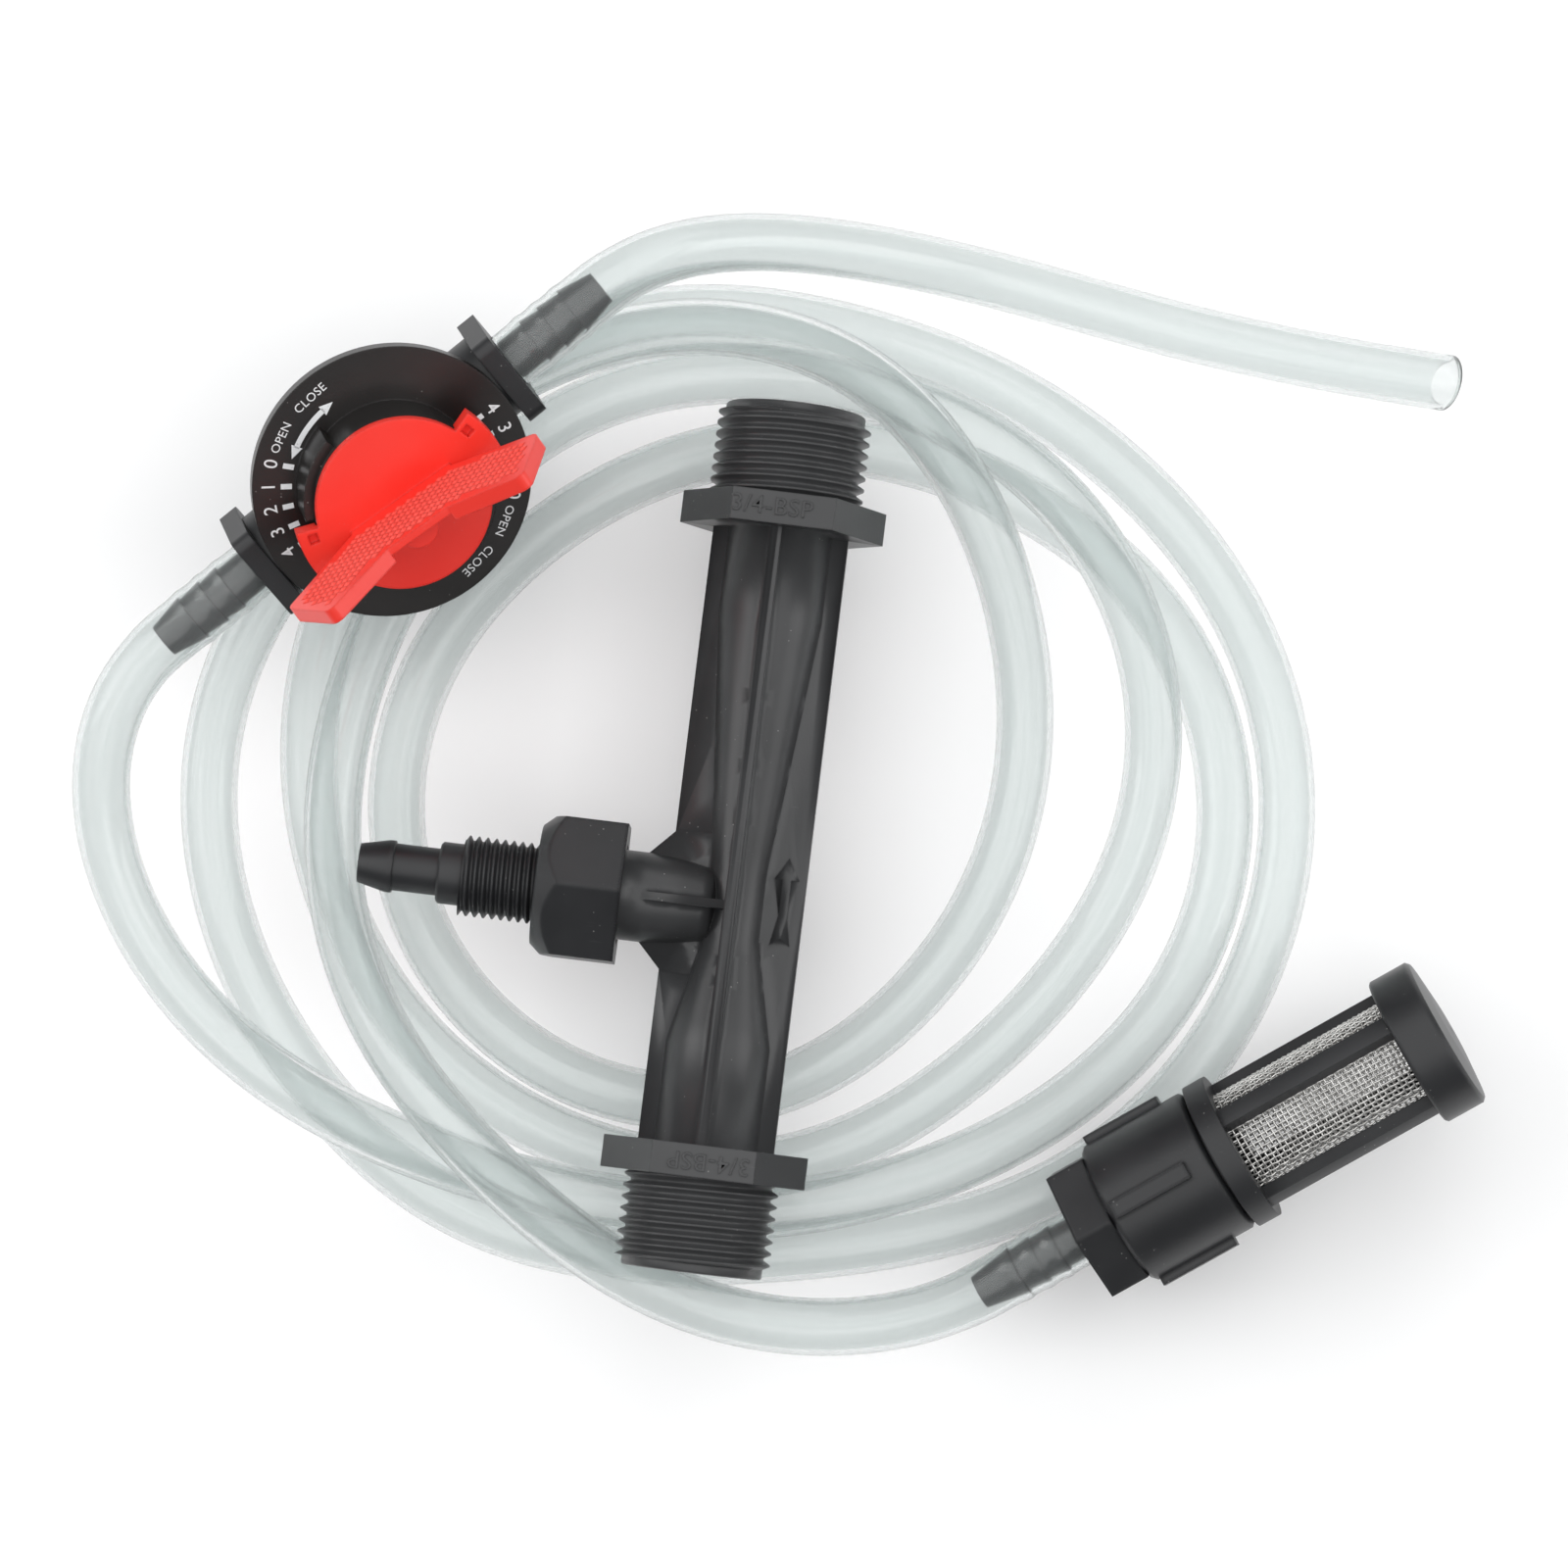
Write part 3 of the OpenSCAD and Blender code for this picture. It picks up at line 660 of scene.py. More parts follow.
@dataclass
class Studio:
    """Camera, table and soft light."""

    eye: Point = (13.92, 16.85, 973.62)
    heading: float = 6.96
    tilt: float = 4.0
    lens: float = 131.1
    table: float = TABLE
    middle: Point = (0.0, 80.0, 0.0)
    lamps: tuple[tuple[str, Point, float, float], ...] = (
        ("left", (-880.0, 160.0, 560.0), 700.0, 4.2),
        ("right", (900.0, 240.0, 520.0), 700.0, 3.4),
        ("back", (60.0, 980.0, 620.0), 600.0, 1.6),
        ("over", (0.0, 90.0, 1600.0), 2400.0, 25.5),
    )
    sky_tint: Colour = (0.96, 0.98, 1.0, 1.0)
    sky_strength: float = 0.2

    def build(self) -> None:
        """Set up camera, table, lamps and sky."""
        self.camera()
        self.floor()
        for lamp in self.lamps:
            self.lamp(*lamp)
        world = bpy.data.worlds.new("studio")
        bpy.context.scene.world = world
        world.use_nodes = True
        sky = world.node_tree.nodes["Background"]
        sky.inputs["Color"].default_value = self.sky_tint
        sky.inputs["Strength"].default_value = self.sky_strength
        bpy.context.scene.view_settings.view_transform = "Standard"

    def camera(self) -> None:
        """Place the camera over the table."""
        data = bpy.data.cameras.new("photo")
        data.sensor_width = 36.0
        data.lens = self.lens
        data.clip_start = 0.01
        eye = bpy.data.objects.new("photo", data)
        eye.matrix_world = (
            Matrix.Translation(Vector(self.eye) * MM) @ turn(self.heading, "Z") @ turn(self.tilt, "X")
        )
        bpy.context.scene.collection.objects.link(eye)
        bpy.context.scene.camera = eye

    def floor(self) -> None:
        """Lay the table top."""
        bm = bmesh.new()
        bmesh.ops.create_grid(bm, x_segments=1, y_segments=1, size=3.0)
        bmesh.ops.translate(bm, verts=bm.verts[:], vec=(0.0, 0.0, self.table * MM))
        mesh = bpy.data.meshes.new("table")
        bm.to_mesh(mesh)
        bm.free()
        mesh.materials.append(TableTop().make())
        table = bpy.data.objects.new("table", mesh)
        bpy.context.scene.collection.objects.link(table)

    def lamp(self, name: str, at: Point, size: float, power: float) -> None:
        """Hang one square lamp that looks at the middle of the set.

        Args:
            name: the lamp's name.
            at: its place in millimetres.
            size: its side in millimetres.
            power: its power in watts.
        """
        data = bpy.data.lights.new(name, "AREA")
        data.size = size * MM
        data.energy = power
        lamp = bpy.data.objects.new(name, data)
        aim = Vector(self.middle) - Vector(at)
        facing = aim.to_track_quat("-Z", "Y").to_matrix().to_4x4()
        lamp.matrix_world = Matrix.Translation(Vector(at) * MM) @ facing
        bpy.context.scene.collection.objects.link(lamp)


# Hose


# Points over the barbs, as distances from the valve's middle and from the strainer's origin
VALVE_BARB = (28.1, 34.0, 41.0, 48.2, 55.2)
FOOT_BARB = (-7.0, 0.0, 7.0, 14.0, 20.4)
# Routes of both hoses, with heights above the table
LONG_ROUTE: tuple[Point, ...] = (
    (-111, 84, 26.5), (-111, 66, 20), (-103, 48, 12), (-86, 30, 11.5), (-63, 19, 15), (-39, 13, 11),
    (-16, 10, 10.5), (8, 11, 12.5), (31, 18, 11), (55, 32, 5), (74, 51, 5), (83, 75, 5),
    (81, 101, 5), (69, 123, 5), (46, 139, 5), (21, 145, 6), (-1, 146, 12), (-23, 138, 10),
    (-44, 122, 5), (-59, 101, 5), (-62, 76, 5), (-55, 53, 5), (-37, 36, 5), (-12, 28, 5),
    (12, 33, 5), (32, 52, 5), (45, 77, 5), (46, 104, 6), (37, 129, 15), (21, 152, 21),
    (-2, 163, 15), (-29, 162, 15), (-52, 149, 15), (-71, 131, 15), (-87, 110, 13), (-95, 85, 6.5),
    (-92, 59, 5), (-78, 34, 5), (-58, 14, 5), (-34, 2, 5), (-8, 2, 5), (17, 6, 5),
    (42, 12, 5), (65, 24, 5), (83, 45, 5), (93, 72, 5), (93, 99, 5), (81, 126, 5),
    (61, 146, 5), (35, 161, 5), (7, 166, 5), (-19, 168, 5), (-43, 160, 5), (-61, 141, 5),
    (-74, 118, 5), (-79, 91, 5), (-74, 65, 5), (-59, 40, 5), (-37, 24, 5), (-11, 18, 5),
    (14, 19, 5), (35, 33, 5), (54, 54, 5), (68, 80, 5), (68, 107, 10), (57, 131, 15),
    (33, 151, 13), (8, 156, 8), (-19, 156, 5), (-43, 145, 5), (-62, 121, 5), (-71, 92, 10.5),
    (-71, 65, 15), (-62, 38, 15), (-43, 20, 21), (-19, 2, 19), (8, -8, 10), (33, -4, 10),
)
FEED_ROUTE: tuple[Point, ...] = ((-6, 177, 26), (29, 179, 11), (64, 174, 5), (100, 171, 5), (115, 172, 5))


@dataclass
class ClearHose:
    """One length of clear hose, pushed over a barb at its start and maybe at its end."""

    name: str
    node: str
    route: list[Vector]
    far_end: str
    barb_at_end: bool
    outside: float = 10.0
    wall: float = 1.0
    stretch: float = 1.03
    ridge: float = 0.045
    ridges: tuple[float, ...] = (5.2, 9.0, 13.3)
    barb: float = 20.3
    step: float = 2.5
    sides: int = 48
    slant: float = 24.0
    stiffness: float = 1600.0
    fine: float = 0.05
    fade: float = 5.0
    ridge_w: float = 1.1
    lay_scale: float = 0.004
    path: list[Vector] = field(default_factory=list)

    def spline(self) -> np.ndarray:
        """Draw a smooth curve through the route.

        Returns:
            Evenly spaced points on it.
        """
        p = [2 * self.route[0] - self.route[1], *self.route, 2 * self.route[-1] - self.route[-2]]
        made = [
            0.5 * (
                2 * b + (c - a) * t + (2 * a - 5 * b + 4 * c - d) * t**2 + (3 * b - a - 3 * c + d) * t**3
            )
            for a, b, c, d in zip(p, p[1:], p[2:], p[3:])
            for t in np.arange(0.0, 1.0, self.fine)
        ]
        line = np.array([*made, self.route[-1]])
        along = np.concatenate(([0.0], np.cumsum(np.linalg.norm(np.diff(line, axis=0), axis=1))))
        marks = np.linspace(0.0, along[-1], round(along[-1] / self.step) + 1)
        return np.stack([np.interp(marks, along, line[:, axis]) for axis in range(3)], axis=1)

    def relaxed(self) -> list[Vector]:
        """Ease the curve's bends, straight over the barbs and never below the table.

        Returns:
            The eased points, closer together over the barbs.
        """
        line = self.spline()
        held = np.zeros(len(line), dtype=bool)
        straight = 1 + int(self.barb / self.step)
        held[:straight] = True
        held[-straight if self.barb_at_end else len(line):] = True
        bend = np.diff(np.eye(len(line)), 2, axis=0)
        pull = np.eye(len(line)) + self.stiffness * bend.T @ bend
        rest = line - pull[:, held] @ line[held]
        line[~held] = np.linalg.solve(pull[np.ix_(~held, ~held)], rest[~held])
        line[:, 2] = np.maximum(line[:, 2], TABLE + self.outside / 2)
        marks = np.arange(len(line) - 1.0)
        over = np.floor(marks[held[:-1]])[:, None] + np.array([0.2, 0.4, 0.6, 0.8])
        marks = np.sort(np.concatenate((marks, over.ravel(), [len(line) - 1.0])))
        return [Vector(np.interp(m, range(len(line)), line[:, k]) for k in range(3)) for m in marks]

    def swell(self, along: float, total: float) -> float:
        """Return the hose's growth over a barb.

        Args:
            along: distance from the start.
            total: the hose's length.

        Returns:
            1 for a free hose, more where a barb stretches it.
        """
        near = min(along, total - along) if self.barb_at_end else along
        fade = min(1.0, max(0.0, (self.barb + self.fade - near) / self.fade))
        bumps = sum(math.exp(-(((near - ridge) / self.ridge_w) ** 2)) for ridge in self.ridges)
        return 1.0 + (self.stretch - 1.0) * fade * fade * (3.0 - 2.0 * fade) + self.ridge * bumps

    def mark_lay(self, bm: bmesh.types.BMesh, steps: list[float]) -> None:
        """Give each vertex its place round and along the hose, for lines that follow it.

        Args:
            bm: the hose's skin, ring by ring.
            steps: distances from ring to ring.
        """
        layer = bm.verts.layers.float_vector.new(LAY)
        along = [0.0, *np.cumsum(steps)]
        for number, vert in enumerate(bm.verts):
            ring, side = divmod(number, self.sides)
            angle = math.tau * side / self.sides
            vert[layer] = (math.cos(angle), math.sin(angle), along[ring] * self.lay_scale)

    def cut_end(self, bm: bmesh.types.BMesh) -> None:
        """Cut the open end on a slant, its top left longest.

        Args:
            bm: the hose's skin.
        """
        end = self.path[-1]
        way = (end - self.path[-2]).normalized()
        top = end + Vector((0.0, 0.0, self.outside / 2))
        slant = math.radians(self.slant)
        trim(bm, top, way * math.cos(slant) - Vector((0.0, 0.0, math.sin(slant))))

    def build(self, finish: bpy.types.Material) -> bpy.types.Object:
        """Args:
            finish: its material.

        Returns:
            The hose.
        """
        self.path = self.relaxed()
        steps = [(b - a).length for a, b in zip(self.path, self.path[1:])]
        total = sum(steps)
        curve = bpy.data.curves.new(self.name, "CURVE")
        curve.dimensions = "3D"
        curve.bevel_depth = self.outside / 2
        curve.bevel_resolution = self.sides // 2 - 2
        curve.use_fill_caps = False
        line = curve.splines.new("POLY")
        line.points.add(len(self.path) - 1)
        along = 0.0
        for point, at, step in zip(line.points, self.path, [*steps, 0.0]):
            point.co = (*at, 1.0)
            point.radius = self.swell(along, total)
            along += step
        bm = curve_mesh(curve)
        self.mark_lay(bm, steps)
        if not self.barb_at_end:
            self.cut_end(bm)
        bmesh.ops.recalc_face_normals(bm, faces=bm.faces[:])
        hose = piece(self.name, bm, Matrix.Identity(4), finish, "kit", 60.0)
        skin = hose.modifiers.new("wall", "SOLIDIFY")
        skin.thickness = self.wall * MM
        skin.offset = -1.0
        # Light goes through the clear wall, so the hose leaves no shadow on the table
        hose.visible_shadow = False
        hose.visible_diffuse = False
        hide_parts(self.node)
        tuple(self.route[0] * MM)
        self.outside * MM
        [tuple(v * MM) for v in self.path]
        return hose


def hoses() -> tuple[ClearHose, ClearHose]:
    """Lay out both hoses.

    Returns:
        The long hose to the strainer and the short one to its open end.
    """
    centre = VALVE.to_translation()
    along = (VALVE.to_3x3() @ Vector((1.0, 0.0, 0.0))).normalized()
    foot = FOOT.to_translation()
    rise = (FOOT.to_3x3() @ Vector((1.0, 0.0, 0.0))).normalized()

    def lift(route: Sequence[Point]) -> list[Vector]:
        """Return a route with heights above the table in the part's frame."""
        return [Vector((x, y, z + TABLE)) for x, y, z in route]

    start = [centre - d * along for d in VALVE_BARB]
    end = [foot + d * rise for d in FOOT_BARB]
    far = [centre + d * along for d in VALVE_BARB]
    return (
        ClearHose("suction_tube", "suction_hose", [*start, *lift(LONG_ROUTE), *end], "object", True),
        ClearHose("feed_tube", "feed_hose", [*far, *lift(FEED_ROUTE)], "bare", False),
    )


# Injector


@dataclass
class Injector:
    """Injector body with real threads on both ends and the thread size on its hexagons."""

    length: float = 148.5
    end: float = 16.0
    lead_r: float = 12.05
    lead_l: float = 1.6
    root_r: float = 12.06
    crest_r: float = 13.22
    pitch: float = 1.98
    mouth_r: float = 9.4
    mouth_l: float = 10.0
    duct_r: float = 7.3
    taper_to: float = 20.5
    hex_top: float = 15.15
    lip: float = 0.5
    lip_fall: float = 0.15
    mouth_edge: float = 0.3
    sink: float = 0.4
    seat_over: float = 0.2
    seat_under: float = 0.3
    overlap: float = 0.01
    mark_at: tuple[Pair, ...] = ((1.0, 18.75), (-1.9, 129.75))
    mark_h: float = 2.9
    mark_bold: float = 0.03
    mark_rise: float = 0.32
    mark_sink: float = 0.05

    def threaded_end(self) -> bmesh.types.BMesh:
        """Make one end about Z, from its face at 0 to the hexagon.

        Returns:
            The end's mesh.
        """
        bm = bmesh.new()
        screw(bm, self.root_r, self.crest_r, self.pitch, self.lead_l, self.end + self.sink)
        slope = (self.mouth_r - self.duct_r) / (self.taper_to - self.mouth_l)
        lead, mouth = self.lead_r, self.mouth_r
        profile = (
            (lead, self.lead_l), (lead, self.lip), (lead - self.lip_fall, self.lip_fall),
            (lead - self.lip, 0.0), (mouth + self.mouth_edge, 0.0), (mouth, self.mouth_edge),
            (mouth, self.mouth_l),
            (mouth - slope * (self.end - self.mouth_l), self.end),
        )
        draw_rim(bm, rim(bm, self.lead_l), profile)
        bmesh.ops.recalc_face_normals(bm, faces=bm.faces[:])
        seat = bmesh.new()
        lathe(seat, ((self.crest_r + self.seat_over, self.end), (self.root_r - self.seat_under, self.end)))
        join(bm, seat, Matrix.Identity(4))
        return bm

    def build(self, finish: bpy.types.Material) -> bpy.types.Object:
        """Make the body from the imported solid's middle and two threaded ends.

        Args:
            finish: its material.

        Returns:
            The body.
        """
        bm = bmesh.new()
        bm.from_mesh(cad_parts["injector_body"].data)
        bmesh.ops.scale(bm, vec=(1 / MM, 1 / MM, 1 / MM), verts=bm.verts[:])
        bmesh.ops.remove_doubles(bm, verts=bm.verts[:], dist=0.001)
        for height, side in ((self.end - self.overlap, -1.0), (self.length - self.end + self.overlap, 1.0)):
            trim(bm, (0, height, 0), (0, side, 0))
        join(bm, self.threaded_end(), INLET)
        join(bm, self.threaded_end(), OUTLET)
        body = piece("injector_shell", bm, Matrix.Identity(4), finish, "kit", 28.0)
        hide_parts("injector_body")
        return body

    def mark(self, finish: bpy.types.Material) -> bpy.types.Object:
        """Raise the thread size on the top flat of each hexagon.

        Args:
            finish: its material.

        Returns:
            The lettering.
        """
        bm = bmesh.new()
        for (x, y), spin in zip(self.mark_at, (180.0, 0.0)):
            letters = lettering("3/4-BSP", self.mark_h, self.mark_bold)
            raise_flat(letters, self.mark_rise)
            join(bm, letters, move(x, y, self.hex_top - self.mark_sink) @ turn(spin, "Z"))
        made = piece("thread_size_marks", bm, Matrix.Identity(4), finish, "kit", 40.0)
        return made


@dataclass
class SuctionTail:
    """Hose tail of the suction port, with its outer thread."""

    bore_r: float = 2.4
    flange: tuple[float, float, float] = (8.5, 29.5, 31.7)
    thread: tuple[float, float, float] = (6.1, 6.9, 1.5)
    thread_to: float = 47.0
    shoulder: tuple[float, float] = (5.3, 51.0)
    root_r: float = 4.05
    head_r: float = 4.5
    head: tuple[float, float] = (58.7, 64.7)
    tip_r: float = 3.35
    edge: float = 0.4
    head_edge: Pair = (0.1, 0.2)
    head_flat: float = 1.0

    def build(self, finish: bpy.types.Material) -> bpy.types.Object:
        """Make the tail.

        Args:
            finish: its material.

        Returns:
            The tail.
        """
        root, crest, pitch = self.thread
        wide, low, high = self.flange
        shoulder_r, shoulder_to = self.shoulder
        bm = bmesh.new()
        screw(bm, root, crest, pitch, high, self.thread_to)
        back, tip = self.head
        inset, rise = self.head_edge
        profile = (
            (shoulder_r, self.thread_to), (shoulder_r, shoulder_to - self.edge),
            (shoulder_r - self.edge, shoulder_to), (self.root_r, shoulder_to), (self.root_r, back),
            (self.head_r - inset, back), (self.head_r, back + rise), (self.head_r, back + self.head_flat),
            (self.tip_r, tip), (self.bore_r, tip), (self.bore_r, low),
        )
        draw_rim(bm, rim(bm, self.thread_to), profile)
        draw_rim(bm, rim(bm, high), ((wide, high), (wide, low), (self.bore_r, low)))
        bmesh.ops.remove_doubles(bm, verts=bm.verts[:], dist=0.001)
        bmesh.ops.recalc_face_normals(bm, faces=bm.faces[:])
        tail = piece("suction_tail_threaded", bm, PORT, finish, "kit", 28.0)
        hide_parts("suction_tail")
        return tail


# Valve


@dataclass
class DialPrint:
    """White numbers, ticks, words and arrows on the dial plate."""

    face: float = 10.2
    lift: float = 0.03
    ink: float = 0.02
    numbers: tuple[float, ...] = (130.0, 141.2, 152.4, 163.4, 174.6)
    tick: tuple[float, float, float] = (17.2, 19.1, 0.95)
    number_r: float = 21.1
    number_h: float = 2.3
    word_r: float = 20.9
    word_h: float = 1.48
    words: tuple[tuple[str, float], ...] = (("OPEN", 116.8), ("CLOSE", 93.8))
    arrow: tuple[float, float, float, float] = (17.8, 0.95, 87.0, 125.0)
    head_span: float = 6.0
    head_r: float = 1.15
    head_stretch: float = 1.35
    head_shift: float = 0.5
    number_bold: float = 0.006
    far: float = 183.0

    def set_at(self, bm: bmesh.types.BMesh, other: bmesh.types.BMesh, angle: float, radius: float) -> None:
        """Put a flat mark on the dial, its top outward, and again on the other side.

        Args:
            bm: the print.
            other: the mark, used up.
            angle: its angle on the dial in degrees.
            radius: its distance from the stem.
        """
        twin = other.copy()
        for mark, side in ((other, 0.0), (twin, self.far)):
            join(bm, mark, turn(angle + side, "Z") @ move(radius, 0.0, 0.0) @ turn(-90.0, "Z"))

    def bar(self, length: float, width: float) -> bmesh.types.BMesh:
        """Make a flat bar along Y.

        Args:
            length: its length.
            width: its width.

        Returns:
            The bar's mesh.
        """
        bm = bmesh.new()
        bmesh.ops.create_grid(bm, x_segments=1, y_segments=1, size=0.5)
        bmesh.ops.scale(bm, vec=(width, length, 1.0), verts=bm.verts[:])
        return bm

    def arc(self, bm: bmesh.types.BMesh) -> None:
        """Add the two-headed arrow beside the numbers, on both sides.

        Args:
            bm: the print.
        """
        radius, width, low, high = self.arrow
        for side in (0.0, self.far):
            band = bmesh.new()
            verts = [band.verts.new((radius + s * width / 2, 0.0, 0.0)) for s in (-1, 1)]
            edge = band.edges.new(verts)
            bmesh.ops.spin(
                band, geom=[*verts, edge], cent=(0, 0, 0), axis=(0, 0, 1), dvec=(0, 0, 0),
                angle=math.radians(high - low - 2 * self.head_span), steps=16,
                use_merge=False, use_duplicate=False,
            )
            join(bm, band, turn(low + self.head_span + side, "Z"))
            for angle, way in ((low + self.head_span, -1.0), (high - self.head_span, 1.0)):
                head = bmesh.new()
                bmesh.ops.create_circle(head, cap_ends=True, segments=3, radius=self.head_r)
                bmesh.ops.scale(head, vec=(1.0, self.head_stretch, 1.0), verts=head.verts[:])
                spin = 0.0 if way > 0 else 180.0
                place = turn(angle + side, "Z") @ move(radius, self.head_shift * way, 0.0) @ turn(spin, "Z")
                join(bm, head, place)

    def build(self, finish: bpy.types.Material) -> bpy.types.Object:
        """Make the print.

        Args:
            finish: its material.

        Returns:
            The print.
        """
        bm = bmesh.new()
        low, high, width = self.tick
        for number, angle in enumerate(self.numbers):
            self.set_at(bm, self.bar(high - low, width), angle, (low + high) / 2)
            self.set_at(bm, lettering(str(number), self.number_h, self.number_bold), angle, self.number_r)
        for word, angle in self.words:
            self.set_at(bm, lettering(word, self.word_h), angle, self.word_r)
        self.arc(bm)
        bmesh.ops.recalc_face_normals(bm, faces=bm.faces[:])
        for face in bm.faces:
            if face.normal.z < 0:
                face.normal_flip()
        raise_flat(bm, self.ink)
        place = VALVE @ move(0.0, 0.0, self.face + self.lift - self.ink)
        made = piece("dial_print", bm, place, finish, "kit", 40.0)
        return made


@dataclass
class KnobGrip:
    """Diamond knurl on both faces of the knob's wing."""

    top: float = 22.2
    half_t: float = 1.4
    across: float = 2.08
    rise: float = 0.9
    height: float = 0.42
    border: float = 1.75
    base: float = 0.96
    tip: float = 0.09
    sink: float = 0.02
    first: float = 1.0
    reach: float = 26.0
    climb: float = 25.0
    bare: float = 7.0
    outline: tuple[Pair, ...] = (
        (-25.4, 12.15), (-19.4, 24.3), (-6.0, 16.3), (6.0, 16.3),
        (19.4, 24.3), (25.4, 12.15), (10.16, 1.2), (-10.16, 1.2),
    )

    def inside(self, x: float, z: float) -> bool:
        """Return whether a point lies on the wing with the plain border kept free.

        Args:
            x: distance from the stem along the wing.
            z: height above the disc.

        Returns:
            True inside the knurled field.
        """
        hits = 0
        gap = math.inf
        for (ax, az), (bx, bz) in zip(self.outline, self.outline[1:] + self.outline[:1]):
            if (az > z) != (bz > z) and x < (bx - ax) * (z - az) / (bz - az) + ax:
                hits += 1
            a, b, p = Vector((ax, az)), Vector((bx, bz)), Vector((x, z))
            t = min(1.0, max(0.0, (p - a).dot(b - a) / (b - a).length_squared))
            gap = min(gap, (p - a - t * (b - a)).length)
        return hits % 2 == 1 and gap > self.border

    def build(self, finish: bpy.types.Material) -> bpy.types.Object:
        """Make the knurl.

        Args:
            finish: its material.

        Returns:
            The knurl.
        """
        bm = bmesh.new()
        count = int(self.reach / self.across)
        shape = Matrix.Diagonal((self.across / 2, self.rise, 1.0, 1.0))
        for row in range(int(self.climb / self.rise)):
            for column in range(-count, count + 1):
                x = (column + row % 2 / 2) * self.across
                z = self.first + row * self.rise
                if not self.inside(x, z):
                    continue
                for side in (1.0, -1.0):
                    if side < 0 and abs(x) < self.bare:
                        continue
                    out = side * (self.half_t + self.height / 2 - self.sink)
                    place = move(x, out, self.top + z) @ turn(-90.0 * side, "X") @ shape
                    bmesh.ops.create_cone(
                        bm, cap_ends=False, segments=4, radius1=self.base, radius2=self.tip,
                        depth=self.height, matrix=place,
                    )
        bmesh.ops.holes_fill(bm, edges=[e for e in bm.edges if e.is_boundary], sides=4)
        bmesh.ops.recalc_face_normals(bm, faces=bm.faces[:])
        made = piece("knob_knurl", bm, KNOB, finish, "knob", 20.0)
        return made


# Strainer


@dataclass
class WireCloth:
    """Woven wire tube behind the strainer's bars."""

    radius: float = 9.55
    start: float = 48.3
    stop: float = 87.9
    wire: float = 0.34
    pitch: float = 0.98
    crimp: float = 0.45
    drift: float = 0.08
    sway: float = 0.008

    def build(self, finish: bpy.types.Material) -> bpy.types.Object:
        """Make the cloth from rings and lengthwise wires that pass over and under each other.

        Args:
            finish: its material.

        Returns:
            The cloth.
        """
        around = 2 * round(math.pi * self.radius / self.pitch)
        rows = round((self.stop - self.start) / self.pitch)
        step = (self.stop - self.start) / rows
        swing = self.wire * self.crimp
        curve = bpy.data.curves.new("cloth", "CURVE")
        curve.dimensions = "3D"
        curve.bevel_depth = self.wire / 2
        curve.bevel_resolution = 1
        for row in range(rows):
            ring = curve.splines.new("POLY")
            ring.use_cyclic_u = True
            ring.points.add(2 * around - 1)
            for k, point in enumerate(ring.points):
                wave = math.cos(math.pi * (k / 2 + row))
                angle = math.pi * k / around
                r = self.radius + swing * wave
                uneven = noise.noise((row * 0.7, math.cos(angle) * 2, math.sin(angle) * 2))
                x = self.start + (row + 0.5) * step + self.drift * uneven
                point.co = (x, r * math.cos(angle), r * math.sin(angle), 1.0)
        for k in range(around):
            line = curve.splines.new("POLY")
            line.points.add(2 * rows)
            for n, point in enumerate(line.points):
                wave = -math.cos(math.pi * (n / 2 - 0.5 + k))
                angle = math.tau * k / around + self.sway * noise.noise((k * 0.9, n * 0.12, 3.0))
                r = self.radius + swing * wave
                point.co = (self.start + n / 2 * step, r * math.cos(angle), r * math.sin(angle), 1.0)
        bm = curve_mesh(curve)
        bmesh.ops.recalc_face_normals(bm, faces=bm.faces[:])
        cloth = piece("wire_cloth", bm, FOOT, finish, "kit", 80.0)
        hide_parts("strainer_mesh")
        return cloth


# Carried-over solids


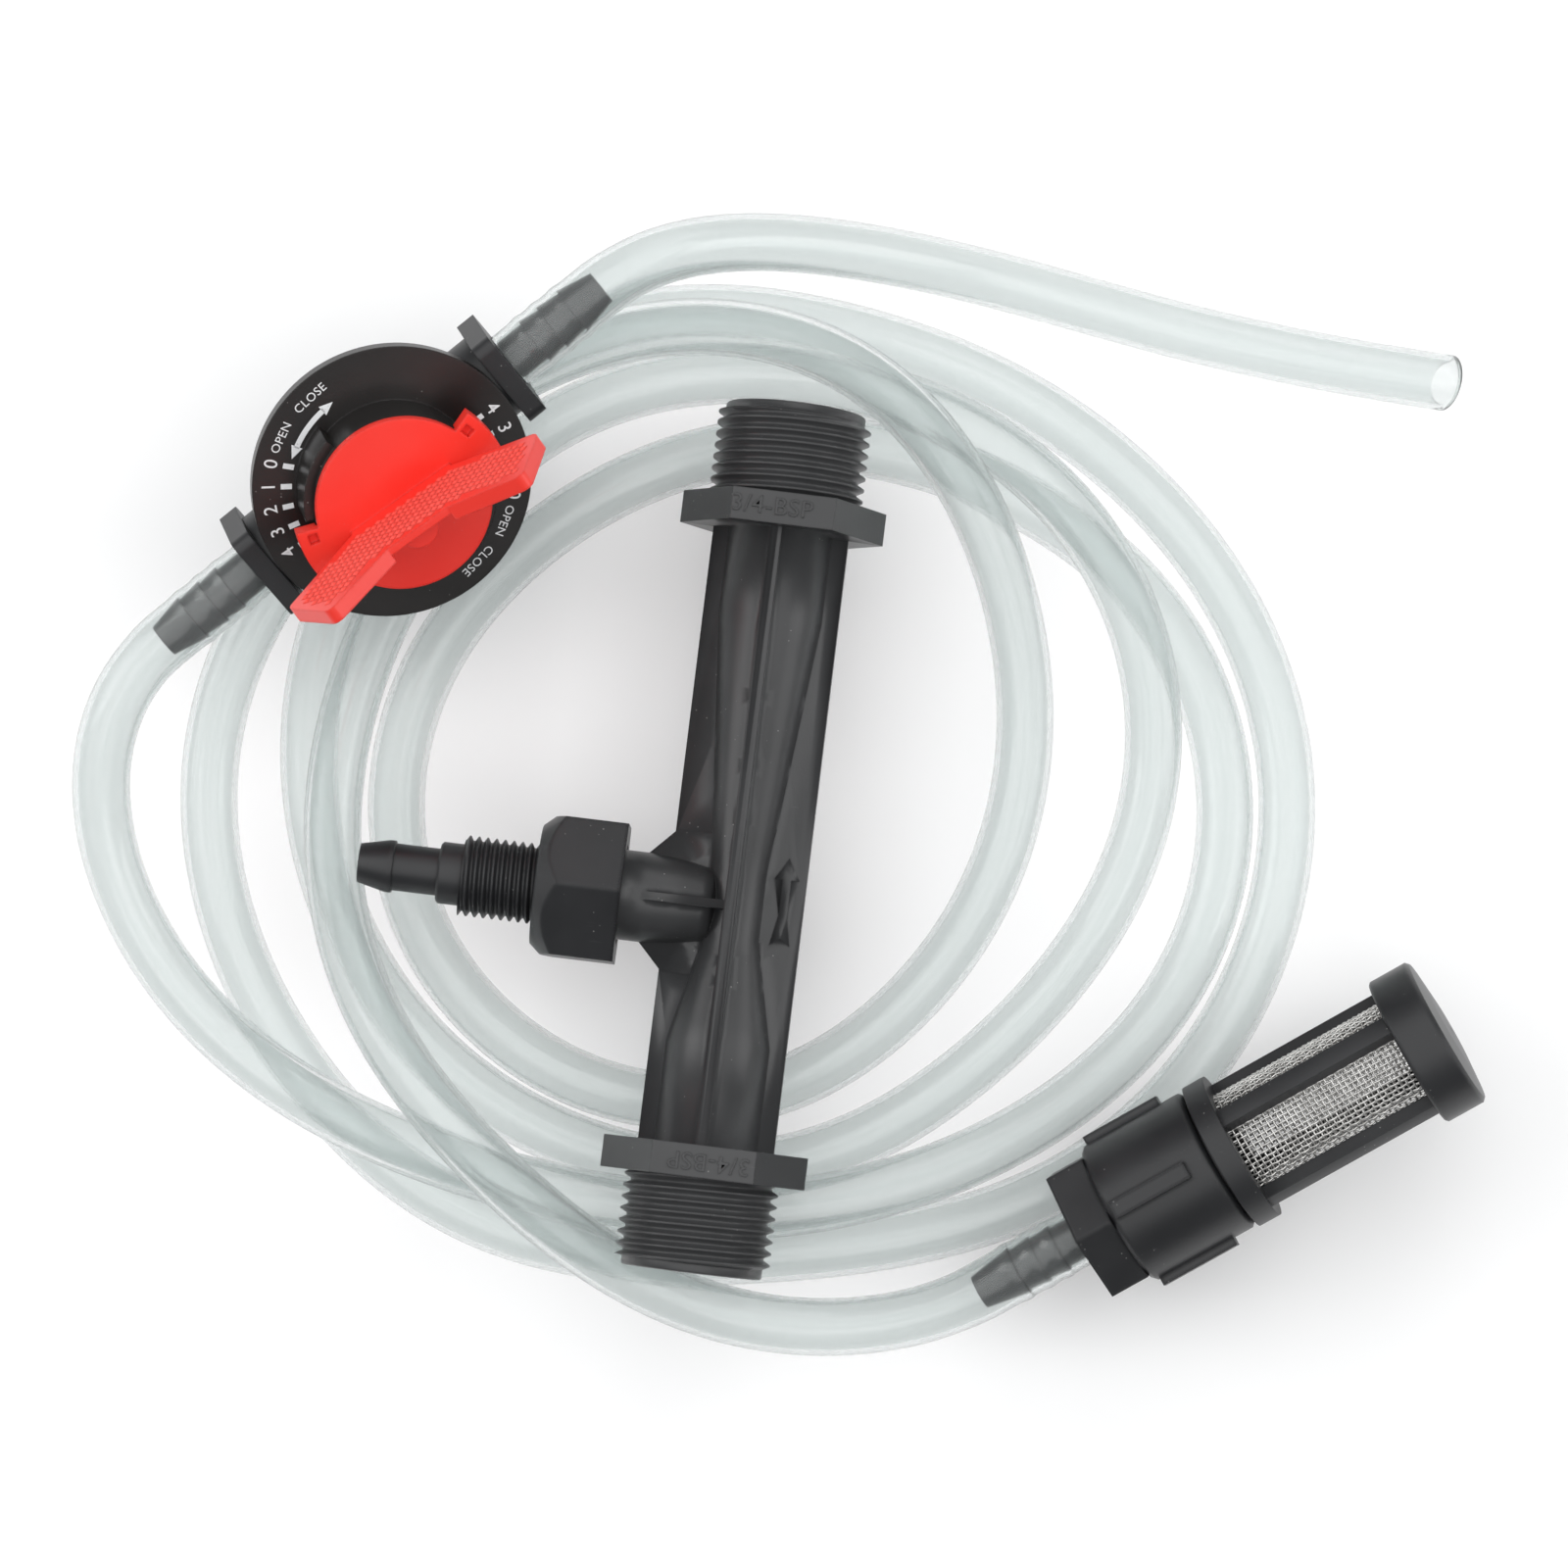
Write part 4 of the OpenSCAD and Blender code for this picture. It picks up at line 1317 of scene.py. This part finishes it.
@dataclass
class PlainSolids:
    """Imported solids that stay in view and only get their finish."""

    black: tuple[str, ...] = ("valve_body", "valve_tail_left", "valve_tail_right", "strainer_cage")
    soft: tuple[str, ...] = ("suction_nut", "strainer_tail", "strainer_collar", "strainer_cap")
    dark: tuple[str, ...] = ("dial_plate",)
    red: tuple[str, ...] = ("knob",)
    cream: tuple[str, ...] = ("check_ball", "ball_seat_left", "ball_seat_right")
    steel: tuple[str, ...] = ("valve_ball", "valve_stem")
    rubber: tuple[str, ...] = (
        "suction_gasket", "tail_ring_left", "tail_ring_right", "stem_ring", "strainer_gasket",
    )

    def dress(self, nodes: Sequence[str], finish: bpy.types.Material) -> None:
        """Give solids one finish.

        Args:
            nodes: their names.
            finish: the material.
        """
        for name in nodes:
            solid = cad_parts[name]
            if not solid.material_slots:
                solid.data.materials.append(finish)
            for slot in solid.material_slots:
                slot.material = finish
            LOG.info("%s: %s", name, finish.name)


def main() -> None:
    """Build the studio, the hoses, the injector, the valve and the strainer."""
    logging.basicConfig(level=logging.INFO, format="%(message)s")
    Studio().build()
    clear = ClearTube().make()
    for hose in hoses():
        hose.build(clear)
    black = Moulded("black_moulded", Tone.BLACK).make()
    # The injector body gets the lighter black, with its painted sheen
    body = Moulded("body_sheen_moulded", Tone.BODY, rough=0.36).make()
    red = Moulded("red_moulded", Tone.RED, rough=0.30, dust=0.10, edge=0.0005).make()
    injector = Injector()
    injector.build(body)
    injector.mark(body)
    SuctionTail().build(black)
    DialPrint().build(PrintInk().make())
    # The knurl gets the paler red, painted sheen over the knob's own red
    KnobGrip().build(Moulded("grip_sheen_moulded", Tone.GRIP, rough=0.30, dust=0.0).make())
    WireCloth().build(BrightSteel("cloth_wire", rough=0.36).make())
    solids = PlainSolids()
    solids.dress(solids.black, black)
    solids.dress(solids.soft, Moulded("soft_edged", Tone.BLACK, rough=0.38, edge=0.0010).make())
    solids.dress(solids.dark, Moulded("dark_moulded", Tone.DARK, rough=0.32).make())
    solids.dress(solids.red, red)
    solids.dress(solids.cream, Moulded("cream_moulded", Tone.CREAM, rough=0.4, dust=0.0).make())
    solids.dress(solids.steel, BrightSteel("turned_steel").make())
    solids.dress(solids.rubber, SoftRubber().make())


if __name__ == "__main__":
    main()
